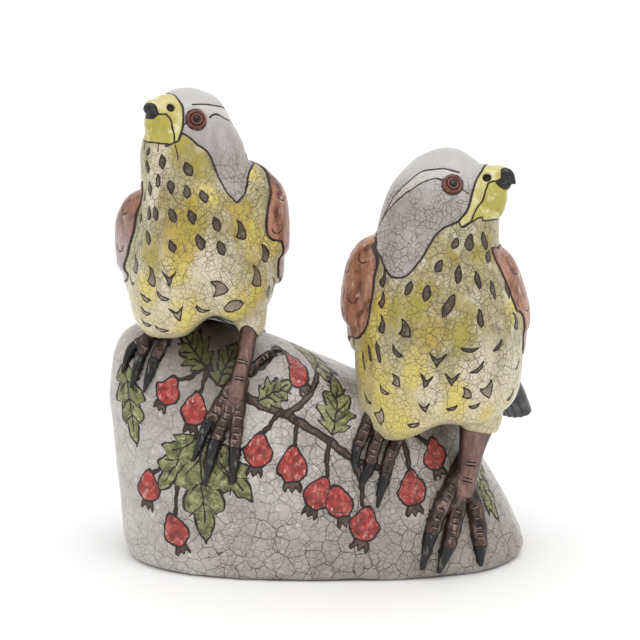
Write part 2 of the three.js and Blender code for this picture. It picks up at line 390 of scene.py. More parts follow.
class Mark(Enum):
    """Shapes of the marks on a thrush's breast."""

    DROP = "pointed above, rounder below"
    CRESCENT = "curved upward to two tips"
    FIN = "three sharp tips, with a hollow on the left"
    CHEVRON = "two strokes that meet below"


# Depths from a tangent plane to which a scallop or a mark is drawn
SCALLOP_REACH = 10
MARK_REACH = 12

# Shares of a mark's half height or half width
CRESCENT_BOW = 0.25
CHEVRON_SLOPES = (1.9, 0.9)
FIN_TIPS = ((-0.15, 1), (0.75, -0.95), (-0.95, -0.45))


def arc_side(across: Array, up: Array, start: Pair, end: Pair, bulge: float) -> Array:
    """Signed distance to the circle through two tips, positive to the right of the way between them.

    The arc rises off its chord by the bulge, a share of the chord, and is hollow where that is
    below 0. Its radius is (chord^2 / 4 + rise^2) / (2 x rise).
    """
    chord = math.dist(start, end)
    rise = bulge * chord
    radius = (chord * chord / 4 + rise * rise) / (2 * rise)
    inward = ((end[1] - start[1]) / chord, (start[0] - end[0]) / chord)
    middle_x = (start[0] + end[0]) / 2 + inward[0] * (radius - rise)
    middle_y = (start[1] + end[1]) / 2 + inward[1] * (radius - rise)
    return math.copysign(1, radius) * (abs(radius) - np.hypot(across - middle_x, up - middle_y))


def mark_shape(mark: Mark, across: Array, up: Array, half_width: float, half_height: float) -> Array:
    """Signed distance to a breast mark.

    A drop's half width at a share t of its height is its widest one times sin(pi t^0.85)^0.7. A
    crescent is a circle less a larger one through the same tips. A fin lies between three arcs, and
    a chevron between two V lines of unlike slope.
    """
    side = np.abs(across)
    if mark is Mark.CRESCENT:
        bow = CRESCENT_BOW * half_height
        outer = (half_width**2 + half_height**2) / (2 * half_height)
        inner = (half_width**2 + bow**2) / (2 * bow)
        from_outer = outer - np.hypot(across, up - outer + half_height)
        return np.minimum(from_outer, np.hypot(across, up - inner + bow) - inner)
    if mark is Mark.CHEVRON:
        steep, shallow = (slope * half_height / half_width for slope in CHEVRON_SLOPES)
        below = (up + half_height - steep * side) / math.hypot(1, steep)
        above = (shallow * side - up) / math.hypot(1, shallow)
        return np.minimum(np.minimum(below, above), half_width - side)
    if mark is Mark.DROP:
        share = np.clip((up / half_height + 1) / 2, 0, 1)
        width = half_width * np.sin(np.pi * share**0.85) ** 0.7
        return np.minimum(0.9 * (width - side), half_height - np.abs(up))
    top, right, left = ((x * half_width, y * half_height) for x, y in FIN_TIPS)
    sides = ((top, right, 0.2), (right, left, 0.1), (left, top, -0.2))
    return np.minimum.reduce([arc_side(across, up, start, end, bulge) for start, end, bulge in sides])


def room_to(points: Array, path: Array) -> tuple[Array, Array, Array]:
    """Distance to a tube, whose radii end its path's rows, with the nearest places and their shares."""
    distance, nearest, share = nearest_on_path(points, path[:, :3])
    return distance - np.interp(share, np.linspace(0, 1, len(path)), path[:, 3]), nearest, share


def small_arc(patch: Patch, radius: float) -> Array:
    """Distance to the lower half of a circle, the short curved stroke of a feather's end."""
    below = np.abs(np.hypot(patch.across, patch.up) - radius)
    above = np.hypot(np.abs(patch.across) - radius, patch.up)
    return np.where(patch.depth < SCALLOP_REACH, np.where(patch.up < 0, below, above), FAR)


# Finishes

# Millimetres over which one painted colour gives way to the next, on each side of its edge
EDGE_SOFTNESS = 0.15

# Relief of the glaze in metres, and the shares of it that are its waves, its lines and its cracks
RELIEF = 0.0004
WAVE_RELIEF = 0.8
LINE_RELIEF = 1.2
CRACK_RELIEF = 0.25


@dataclass(frozen=True)
class Bloom:
    """Cloudy patches of a second colour within a painted one. The size is in millimetres."""

    colour: str
    size: float
    cover: float
    softness: float = 0.1
    stretch: float = 1.0


@dataclass(frozen=True)
class Fade:
    """Gradual change to a second colour, by a painted share from 0 to 1."""

    share: str
    colour: str


@dataclass(frozen=True)
class Wash:
    """One painted colour with its patches, over the area that it names.

    The line is half the width of the area's incised edge, in millimetres, or 0 for none.
    """

    area: str
    colour: str
    blooms: tuple[Bloom, ...] = ()
    line: float = 0.0
    fades: tuple[Fade, ...] = ()


@dataclass(frozen=True)
class Crackle:
    """Fine cracks in the glaze: cell and line in millimetres, and how dark they are."""

    cell: float
    line: float
    strength: float
    colour: str


def linear_colour(code: str) -> tuple[float, float, float, float]:
    """Linear red, green, blue and alpha of a #rrggbb code."""
    parts = [int(code[place : place + 2], 16) / 255 for place in (1, 3, 5)]
    linear = [part / 12.92 if part <= 0.04045 else ((part + 0.055) / 1.055) ** 2.4 for part in parts]
    return (linear[0], linear[1], linear[2], 1.0)


class Nodes:
    """Short calls that lay out one node tree."""

    def __init__(self, tree: NodeTree) -> None:
        """Starts with an empty tree."""
        self.tree = tree
        tree.nodes.clear()

    def add(self, kind: str, inputs: dict | None = None, **settings: Any) -> bpy.types.Node:
        """Adds a shader node.

        Args:
            kind: Blender's name of the node type, without the ShaderNode before it.
            inputs: a value or another node's output for each named or numbered input.
            **settings: the node's own properties, which are set first.
        """
        node = self.tree.nodes.new(f"ShaderNode{kind}")
        node.location = (200 * (len(self.tree.nodes) % 12), -260 * (len(self.tree.nodes) // 12))
        for name, value in settings.items():
            setattr(node, name, value)
        for key, value in (inputs or {}).items():
            if isinstance(value, Socket):
                self.tree.links.new(value, node.inputs[key])
            else:
                node.inputs[key].default_value = value
        return node

    def math(self, operation: str, first: Socket | float, second: Socket | float = 0.0) -> Socket:
        """Result of one sum."""
        return self.add("Math", {0: first, 1: second}, operation=operation).outputs[0]

    def vector(self, operation: str, first: Socket, second: Any = (0.0, 0.0, 0.0)) -> Socket:
        """Result of one sum with vectors: a number for a dot product, or else a vector."""
        node = self.add("VectorMath", {0: first, 1: second}, operation=operation)
        return node.outputs["Value" if operation == "DOT_PRODUCT" else "Vector"]

    def noise(self, place: Socket, scale: Socket | float, detail: float) -> bpy.types.Node:
        """Cloudy noise over the object."""
        return self.add("TexNoise", {"Vector": place, "Scale": scale, "Detail": detail})

    def grouped(self, tree: NodeTree, inputs: dict[str, Any]) -> Socket:
        """Result of a shared group."""
        return self.add("Group", inputs, node_tree=tree).outputs[0]

    def mix(self, share: Socket | float, under: Any, over: Any) -> Socket:
        """Colour between two others."""
        return self.add("Mix", {0: share, 6: under, 7: over}, data_type="RGBA").outputs[2]

    def rise(self, value: Socket, low: Any, high: Any) -> Socket:
        """Smooth rise from 0 where the value is low to 1 where it is high."""
        inputs = {0: value, 1: low, 2: high, 3: 0.0, 4: 1.0}
        return self.add("MapRange", inputs, interpolation_type="SMOOTHSTEP").outputs[0]

    def painted(self, name: str) -> Socket:
        """A value kept with the surface's points."""
        return self.add("Attribute", attribute_name=name).outputs["Fac"]

    def place(self) -> Socket:
        """The place on the object, in metres."""
        return self.add("TexCoord").outputs["Object"]


class GlazeEffects:
    """Node groups that all the finishes share."""

    def __init__(self) -> None:
        """Builds each group once."""
        self.crackle = self._crackle()
        self.brushwork = self._brushwork()
        self.incised = self._incised()

    @staticmethod
    def _group(name: str, inputs: dict[str, float], output: str) -> tuple[Nodes, Any, Any]:
        """Starts a group with number inputs and one number output."""
        tree = bpy.data.node_groups.new(name, "ShaderNodeTree")
        number = {"socket_type": "NodeSocketFloat"}
        for label, value in inputs.items():
            socket = tree.interface.new_socket(name=label, in_out="INPUT", **number)
            socket.default_value = value
        tree.interface.new_socket(name=output, in_out="OUTPUT", **number)
        nodes = Nodes(tree)
        given, result = (tree.nodes.new(f"NodeGroup{end}") for end in ("Input", "Output"))
        return nodes, given.outputs, result.inputs

    def _crackle(self) -> NodeTree:
        """Thin cracks along the walls of bent cells, faint in some places and clear in others.

        The distance along the surface to a wall is the distance to the wall over the sine of the
        angle between them. The wall's direction comes from the middles of the two nearest cells.
        """
        nodes, given, result = self._group("Crackle", {"Cell": 0.006, "Line": 0.0004}, "Cracks")
        scale = nodes.math("DIVIDE", 1.0, given["Cell"])
        place = nodes.place()
        bend = nodes.noise(place, scale, 2.0).outputs["Color"]
        reach = nodes.math("MULTIPLY", given["Cell"], 0.38)
        shift = nodes.vector("MULTIPLY", nodes.vector("SUBTRACT", bend, (0.5, 0.5, 0.5)), reach)
        bent = {"Vector": nodes.vector("ADD", place, shift), "Scale": scale}
        edge = nodes.add("TexVoronoi", bent, feature="DISTANCE_TO_EDGE").outputs["Distance"]
        nearest = nodes.add("TexVoronoi", bent, feature="F1").outputs["Position"]
        second = nodes.add("TexVoronoi", bent, feature="F2").outputs["Position"]
        wall = nodes.vector("NORMALIZE", nodes.vector("SUBTRACT", nearest, second))
        cosine = nodes.vector("DOT_PRODUCT", wall, nodes.add("NewGeometry").outputs["Normal"])
        squared = nodes.math("SUBTRACT", 1.02, nodes.math("MULTIPLY", cosine, cosine))
        along_surface = nodes.math("DIVIDE", edge, nodes.math("POWER", squared, 0.5))
        gap = nodes.math("MULTIPLY", along_surface, given["Cell"])
        inner = nodes.math("MULTIPLY", given["Line"], 0.25)
        line = nodes.math("SUBTRACT", 1.0, nodes.rise(gap, inner, given["Line"]))
        fading = nodes.noise(place, nodes.math("MULTIPLY", scale, 0.4), 1.0)
        shown = nodes.rise(fading.outputs["Fac"], 0.28, 0.5)
        nodes.tree.links.new(nodes.math("MULTIPLY", line, shown), result["Cracks"])
        return nodes.tree

    def _brushwork(self) -> NodeTree:
        """Cloudy patches, as a wet brush leaves them."""
        inputs = {"Size": 0.02, "Cover": 0.5, "Softness": 0.1, "Stretch": 1.0}
        nodes, given, result = self._group("Brushwork", inputs, "Patches")
        scale = nodes.math("DIVIDE", 1.0, given["Size"])
        upright = nodes.math("DIVIDE", 1.0, given["Stretch"])
        squeeze = nodes.add("CombineXYZ", {0: 1.0, 1: 1.0, 2: upright}).outputs[0]
        cloud = nodes.noise(nodes.vector("MULTIPLY", nodes.place(), squeeze), scale, 4.0)
        cloud.inputs["Roughness"].default_value = 0.6
        cloud.inputs["Distortion"].default_value = 0.3
        middle = nodes.math("SUBTRACT", 0.75, nodes.math("MULTIPLY", given["Cover"], 0.5))
        low = nodes.math("SUBTRACT", middle, given["Softness"])
        high = nodes.math("ADD", middle, given["Softness"])
        nodes.tree.links.new(nodes.rise(cloud.outputs["Fac"], low, high), result["Patches"])
        return nodes.tree

    def _incised(self) -> NodeTree:
        """Dark line of uneven width along the zero of a distance in millimetres."""
        nodes, given, result = self._group("Incised line", {"Distance": 0.0, "Half width": 0.5}, "Line")
        grain = nodes.noise(nodes.place(), 500.0, 3.0)
        rough = nodes.math("MULTIPLY", nodes.math("SUBTRACT", grain.outputs["Fac"], 0.5), 0.5)
        distance = nodes.math("ADD", nodes.math("ABSOLUTE", given["Distance"]), rough)
        inner = nodes.math("MULTIPLY", given["Half width"], 0.6)
        outer = nodes.math("MULTIPLY", given["Half width"], 1.4)
        line = nodes.math("SUBTRACT", 1.0, nodes.rise(distance, inner, outer))
        nodes.tree.links.new(line, result["Line"])
        return nodes.tree


@dataclass(frozen=True)
class Glaze:
    """Painted colours under a clear, crackled glaze."""

    name: str
    ground: Wash
    washes: tuple[Wash, ...]
    crackles: tuple[Crackle, ...]
    ink: str = "#2c2320"
    ink_half_width: float = 0.32
    roughness: float = 0.2
    crazed: bool = False

    def build(self, effects: GlazeEffects) -> Material:
        """Makes the material.

        Args:
            effects: the shared node groups.
        """
        material = bpy.data.materials.new(self.name)
        material.use_nodes = True
        nodes = Nodes(material.node_tree)
        colour = self._tone(nodes, effects, self.ground)
        drawn = nodes.math("MAXIMUM", nodes.painted("ink"), 0.0)
        incised = self._line(nodes, effects, drawn, self.ink_half_width)
        for wash in self.washes:
            area = nodes.painted(wash.area)
            cover = nodes.rise(area, -EDGE_SOFTNESS, EDGE_SOFTNESS)
            colour = nodes.mix(cover, colour, self._tone(nodes, effects, wash))
            if wash.line:
                incised = nodes.math("MAXIMUM", incised, self._line(nodes, effects, area, wash.line))
        cracks = self._cracks(nodes, effects)
        for crackle, mask in cracks:
            colour = nodes.mix(mask, colour, linear_colour(crackle.colour))
        colour = nodes.mix(incised, colour, linear_colour(self.ink))
        self._shade(nodes, colour, incised, [mask for _, mask in cracks])
        return material

    @staticmethod
    def _line(nodes: Nodes, effects: GlazeEffects, distance: Socket, half_width: float) -> Socket:
        """Mask of incised lines, given the distance to them."""
        return nodes.grouped(effects.incised, {"Distance": distance, "Half width": half_width})

    @staticmethod
    def _tone(nodes: Nodes, effects: GlazeEffects, wash: Wash) -> Any:
        """Colour of a wash with its patches."""
        colour: Any = linear_colour(wash.colour)
        for bloom in wash.blooms:
            values = {"Size": bloom.size * MM, "Cover": bloom.cover}
            values |= {"Softness": bloom.softness, "Stretch": bloom.stretch}
            patches = nodes.grouped(effects.brushwork, values)
            colour = nodes.mix(patches, colour, linear_colour(bloom.colour))
        for fade in wash.fades:
            colour = nodes.mix(nodes.painted(fade.share), colour, linear_colour(fade.colour))
        return colour

    def _cracks(self, nodes: Nodes, effects: GlazeEffects) -> list[tuple[Crackle, Socket]]:
        """Mask of each set of cracks, weakened where the surface is marked as less crazed."""
        found = []
        for crackle in self.crackles:
            values = {"Cell": crackle.cell * MM, "Line": crackle.line * MM}
            mask = nodes.math("MULTIPLY", nodes.grouped(effects.crackle, values), crackle.strength)
            if self.crazed:
                mask = nodes.math("MULTIPLY", mask, nodes.painted("crazing"))
            found.append((crackle, mask))
        return found

    def _shade(self, nodes: Nodes, colour: Socket, incised: Socket, cracks: list[Socket]) -> None:
        """Glossy shader with shallow grooves at the lines and cracks, and a slightly wavy glaze."""
        waves = nodes.noise(nodes.place(), 160.0, 3.0).outputs["Fac"]
        height = nodes.math("MULTIPLY", waves, WAVE_RELIEF)
        for mask, relief in ((incised, LINE_RELIEF), *((mask, CRACK_RELIEF) for mask in cracks)):
            height = nodes.math("SUBTRACT", height, nodes.math("MULTIPLY", mask, relief))
        bump = nodes.add("Bump", {"Height": height, "Distance": RELIEF, "Strength": 0.6})
        sheen = nodes.math("ADD", nodes.math("MULTIPLY", waves, 0.25), self.roughness)
        roughness = nodes.math("ADD", sheen, nodes.math("MULTIPLY", incised, 0.2))
        inputs = {"Base Color": colour, "Roughness": roughness, "Normal": bump.outputs[0]}
        inputs |= {"Specular IOR Level": 0.3, "Coat Weight": 0.2, "Coat Roughness": 0.1}
        nodes.add("OutputMaterial", {0: nodes.add("BsdfPrincipled", inputs).outputs[0]})


FINE_CRACKLE = Crackle(cell=3.0, line=0.24, strength=0.8, colour="#625844")
WIDE_CRACKLE = Crackle(cell=6.0, line=0.3, strength=0.8, colour="#4d453a")

BIRD_GLAZE = Glaze(
    name="bird_glaze",
    ground=Wash(
        "", "#b0a47c",
        (
            Bloom("#a19048", 15, 0.42, 0.1, 2.2), Bloom("#c4baa0", 10, 0.4, 0.08, 1.6),
            Bloom("#958a68", 6, 0.34, 0.07, 1.6),
        ),
        fades=(
            # The belly fade is partly the pale underside, partly painted light from below
            Fade("belly", "#e6d9b2"), Fade("pale", "#dccfb9"), Fade("olive", "#a79b42"),
            Fade("yellow", "#d9c868"), Fade("ochre", "#b99f3f"),
        ),
    ),
    washes=(
        Wash("cap", "#a49c99", (Bloom("#b6afad", 16, 0.4, 0.12),), 0.66, (
            # The crown fade is partly the cap's own pale grey, partly painted light from above
            Fade("crown", "#bfbdba"), Fade("brow", "#cec8c4"),
        )),
        Wash("mantle", "#8a5643", (Bloom("#a3705a", 14, 0.45), Bloom("#6f4435", 11, 0.35))),
        Wash(
            "wing", "#935f4a",
            (
                Bloom("#b9856c", 11, 0.45, 0.09, 2.4), Bloom("#623a2d", 7, 0.36, 0.08, 2.0),
                Bloom("#cdb0a0", 4, 0.22, 0.05, 2.4),
            ),
            0.6, (Fade("lilac", "#b6a5a8"),),
        ),
        Wash("mark", "#58463b", (Bloom("#3d2e27", 5, 0.45), Bloom("#85755f", 3, 0.28, 0.06)), 0.44, (
            # Marks paler low on the belly: partly their own colour, partly painted light from below
            Fade("belly", "#c6b49c"),
        )),
        Wash("bill", "#cfc587", (Bloom("#c0b260", 9, 0.45), Bloom("#e2dbae", 6, 0.3)), 0.52),
        Wash("jaw", "#b8ae55", (Bloom("#aba247", 8, 0.4), Bloom("#dcd49c", 6, 0.28)), 0.42),
        # The pale streaks on the dark bill tip are painted highlights
        Wash("tip", "#1f1f22", (Bloom("#4a4c51", 3, 0.34, 0.08, 2.0),), 0.2),
    ),
    crackles=(FINE_CRACKLE, WIDE_CRACKLE),
    ink="#2a1e1a", crazed=True,
)

TAIL_GLAZE = Glaze(
    name="tail_glaze",
    ground=Wash("", "#424548", (Bloom("#5d6063", 8, 0.4, 0.1, 1.5), Bloom("#2d2f32", 10, 0.4))),
    washes=(),
    crackles=(Crackle(6.0, 0.2, 0.2, "#2c2c2e"),),
    ink_half_width=0.45,
)

FOOT_GLAZE = Glaze(
    name="foot_glaze",
    ground=Wash(
        "", "#523c33", (Bloom("#937a70", 3, 0.36, 0.06, 3.2), Bloom("#2c1e19", 4, 0.45, 0.08, 2.4)),
        # The flank fade is painted shade, darker where the feet turn away from the viewer
        fades=(Fade("leg", "#97766c"), Fade("flank_shade", "#221713")),
    ),
    washes=(
        # Painted highlight: a pale band beside each wrinkle
        Wash("wrinkle_highlight", "#a08a7c"),
        # Claws: the pale streaks are painted highlights, and the flank fade is painted shade
        Wash("claw", "#1e1d1e", (Bloom("#6b6a64", 2.4, 0.3, 0.05, 3.0),), 0.3, (
            Fade("flank_shade", "#0f0e10"),
        )),
    ),
    crackles=(Crackle(5.0, 0.2, 0.2, "#2c2320"),),
    ink="#1b1311", ink_half_width=0.3, roughness=0.18,
)

EYE_GLAZE = Glaze(
    name="eye_glaze",
    ground=Wash("", "#65382c", (Bloom("#7d4a39", 3, 0.45),)),
    washes=(
        Wash("iris", "#744433", (Bloom("#8f5b46", 3, 0.5),), 0.28),
        Wash("pupil", "#1d1716", (Bloom("#3c3a36", 3, 0.3),), 0.25),
    ),
    crackles=(),
    ink="#1b1210", ink_half_width=0.3, roughness=0.08,
)

MOUND_GLAZE = Glaze(
    name="mound_glaze",
    ground=Wash(
        "", "#b6b0ab",
        (
            Bloom("#cac5c0", 34, 0.5, 0.15), Bloom("#a9a29c", 20, 0.35, 0.12),
            Bloom("#d3cec9", 4, 0.25, 0.06),
        ),
        # Painted shade: darker low on the right, and darker under the bellies
        fades=(Fade("low_right_shade", "#8b837a"), Fade("shaded", "#4b4335")),
    ),
    washes=(
        # Dark ring round each toe on the mound: partly a dark outline, partly painted shade where it
        # meets the mound
        Wash("toe_outline_and_shade", "#251b18"),
        Wash("twig", "#514136", (Bloom("#6e5a4c", 6, 0.45), Bloom("#382a25", 5, 0.35)), 0.6, (
            Fade("shaded", "#382a22"),
        )),
        Wash(
            "leaf", "#7b7f50",
            (Bloom("#9ea16f", 5, 0.45), Bloom("#50572f", 7, 0.42), Bloom("#bdbd95", 2.4, 0.24, 0.05)),
            0.6, (Fade("shaded", "#4c5230"),),
        ),
        Wash(
            "berry", "#ab3935",
            (
                Bloom("#c5655d", 4, 0.42), Bloom("#dcaea4", 2.2, 0.26, 0.05, 2.4),
                Bloom("#7d2725", 6, 0.38),
            ),
            0.6,
        ),
    ),
    crackles=(Crackle(9.5, 0.38, 0.9, "#443c36"), Crackle(3.8, 0.27, 0.78, "#554c45")),
    ink="#2a211e", ink_half_width=0.42, crazed=True,
)

# The mound

MOUND_POWER = 2.6
MOUND_GROOVE = (0.3, 1.1)
MOUND_WAVES: Rows = ((0.5, 38, 11), (0.18, 13, 17))

# Height, left end, right end and half depth of each level
MOUND_LEVELS: Rows = (
    (0, -113, 119, 65), (2, -116, 122, 68.5), (9, -119, 123.5, 70), (20, -120, 118.5, 69.5),
    (40, -121.5, 108.5, 66.5), (60, -123.5, 96, 62.5), (72, -125, 90, 59.5), (80, -125.5, 83, 57),
    (88, -126, 71, 54.5), (100, -126.5, 42, 49.5), (115, -125.5, 6, 42), (127, -122, -21, 34),
    (135, -117, -46, 25), (140, -108, -63, 15), (142, -91, -78, 4),
)

# Shaded places under the two bellies: middle and reach, across and up, and how dark
UNDER_BELLIES: Rows = ((-60, 132, 23, 24, 1.05), (69, 90, 17, 16, 0.62))

# Teeth along a leaf's side, and shares of its length at which its veins leave the midrib
LEAF_TEETH = 4
LEAF_RIBS = (0.22, 0.42, 0.62)


@dataclass(frozen=True)
class Twig:
    """Painted twig through points across and up, with its half width at each end."""

    points: Rows
    start: float
    end: float


@dataclass(frozen=True)
class Leaf:
    """Painted leaf: the place of its stalk, the way it points, clockwise from up, and its size."""

    across: float
    up: float
    lean: float
    length: float
    half_width: float


@dataclass(frozen=True)
class Berry:
    """Painted berry: its place, its size, and the way its crown points, clockwise from down."""

    across: float
    up: float
    radius: float
    lean: float


@dataclass(frozen=True)
class Spray:
    """A painted spray of berries and leaves on one face of the mound."""

    twigs: tuple[Twig, ...]
    leaves: tuple[Leaf, ...]
    berries: tuple[Berry, ...]

    def paint(self, canvas: Canvas, flat: Array, shown: Array) -> None:
        """Draws twigs, then leaves, then berries.

        Args:
            canvas: the mound's canvas.
            flat: millimetres across and up of each point.
            shown: whether each point is on this face.
        """
        for twig in self.twigs:
            path = smooth_path(twig.points, 24)
            distance, _, share = nearest_on_path(flat, path)
            knots = 1 + 0.12 * np.sin(share * 34)
            half_width = (twig.start + (twig.end - twig.start) * share) * knots
            canvas.fill("twig", half_width - distance, shown)
        for leaf in self.leaves:
            self._leaf(canvas, leaf, flat, shown)
        for berry in self.berries:
            self._berry(canvas, berry, flat, shown)

    @staticmethod
    def _turned(flat: Array, across: float, up: float, lean: float) -> tuple[Array, Array]:
        """Places along and beside a direction that leans clockwise from up."""
        sine, cosine = math.sin(math.radians(lean)), math.cos(math.radians(lean))
        right, rise = flat[:, 0] - across, flat[:, 1] - up
        return right * sine + rise * cosine, right * cosine - rise * sine

    def _leaf(self, canvas: Canvas, leaf: Leaf, flat: Array, shown: Array) -> None:
        """Pointed leaf with forward teeth, a midrib and slanted veins.

        The half width at a share t of the length is the widest one times sin(pi t^0.75), cut back
        by up to two fifths from the point of each tooth to the foot of the next.
        """
        forward, beside = self._turned(flat, leaf.across, leaf.up, leaf.lean)
        share = np.clip(forward / leaf.length, 0, 1)
        tooth = (share * LEAF_TEETH) % 1
        width = leaf.half_width * np.sin(np.pi * share**0.75)
        width *= 0.72 + 0.42 * smoothstep(0, 0.75, tooth)
        width *= 1 - 0.5 * smoothstep(0.78, 1, tooth)
        shape = np.minimum(np.minimum(width - np.abs(beside), forward), leaf.length - forward)
        canvas.fill("leaf", shape * 0.85, shown)
        midrib = np.hypot(beside, np.maximum(forward - leaf.length * 0.82, 0) + np.maximum(-forward, 0))
        canvas.stroke(midrib, 0.1, shown)
        for rib in LEAF_RIBS:
            slanted = np.abs(forward - leaf.length * rib - np.abs(beside) * 0.9) * 0.74
            vein = np.hypot(slanted, np.maximum(np.abs(beside) - leaf.half_width * 0.6, 0))
            canvas.stroke(vein, where=shown)

    def _berry(self, canvas: Canvas, berry: Berry, flat: Array, shown: Array) -> None:
        """Pear-shaped berry, drawn out toward its stalk, with a toothed brown crown below."""
        down, beside = self._turned(flat, berry.across, berry.up, berry.lean + 180)
        flare = berry.radius * (0.42 + 0.3 * (down / berry.radius - 1))
        zigzag = np.abs((beside / berry.radius * 2.1 + 0.5) % 1 - 0.5)
        end = berry.radius * (1.72 - 0.75 * zigzag)
        crown = np.minimum(np.minimum(flare - np.abs(beside), down - berry.radius * 0.6), end - down)
        canvas.fill("twig", crown, shown)
        upper = np.clip(-down / berry.radius, 0, 1.6)
        body = berry.radius - np.hypot(beside * (1 + 0.55 * upper), down * (0.96 - 0.12 * upper))
        canvas.fill("berry", body, shown)


FRONT_SPRAY = Spray(
    twigs=(
        Twig(
            ((-82, 139), (-70, 125), (-56, 113), (-38, 103), (-18, 95), (2, 84), (20, 71), (40, 64)),
            2.6, 1.4,
        ),
        Twig(((-20, 96), (-8, 104), (4, 117)), 1.7, 1.1),
        Twig(((-40, 118), (-30, 124), (-20, 127), (-12, 124)), 1.4, 0.8),
        Twig(((-68, 122), (-76, 116), (-84, 115)), 1.1, 0.7),
        Twig(((-66, 120), (-68, 112), (-71, 106)), 1.1, 0.7),
        Twig(((-24, 97), (-30, 90), (-34, 84)), 1.1, 0.7),
        Twig(((-14, 93), (-14, 84), (-15, 76)), 1.1, 0.7),
        Twig(((6, 82), (4, 72), (5, 62)), 1.2, 0.7),
        Twig(((20, 71), (24, 58), (25, 45)), 1.6, 0.8),
        Twig(((46, 88), (51, 74), (53, 62)), 1.3, 0.8),
        Twig(((46, 88), (58, 82), (65, 77)), 1.1, 0.7),
        Twig(((-74, 78), (-86, 70), (-100, 60)), 1.4, 0.7),
        Twig(((-76, 76), (-84, 54), (-86, 36)), 1.2, 0.7),
    ),
    leaves=(
        Leaf(-118, 122, 172, 48, 10.5), Leaf(-66, 121, 320, 25, 9), Leaf(-60, 112, 28, 24, 9),
        Leaf(2, 116, 78, 25, 8), Leaf(7, 85, 14, 29, 10.5), Leaf(-36, 103, 64, 23, 8),
        Leaf(-72, 84, 216, 42, 12), Leaf(-70, 82, 138, 46, 13), Leaf(-71, 84, 176, 62, 15),
        Leaf(106, 70, 178, 38, 8), Leaf(102, 58, 156, 34, 7),
    ),
    berries=(
        Berry(-89, 108, 7.4, 30), Berry(-73, 98, 8.2, 12), Berry(-11, 117, 6.8, -18),
        Berry(-36, 76, 8.6, 10), Berry(-16, 68, 9.0, 0), Berry(-1, 52, 8.6, 24), Berry(11, 47, 8.4, -16),
        Berry(26, 34, 9.0, 14), Berry(54, 53, 9.0, -8), Berry(70, 70, 7.8, -14), Berry(-104, 51, 8.4, 6),
        Berry(-86, 27, 8.6, -22),
    ),
)

BACK_SPRAY = Spray(
    twigs=(
        Twig(((-96, 60), (-70, 74), (-40, 76), (-8, 64), (22, 46)), 2.2, 1.2),
        Twig(((-40, 76), (-34, 64), (-32, 54)), 1.1, 0.7),
        Twig(((-70, 74), (-72, 62), (-74, 52)), 1.1, 0.7),
    ),
    leaves=(Leaf(-54, 76, 20, 34, 9), Leaf(-8, 64, 48, 34, 9), Leaf(22, 46, 112, 36, 10)),
    berries=(Berry(-31, 45, 8.6, 6), Berry(-75, 43, 8.4, -10)),
)


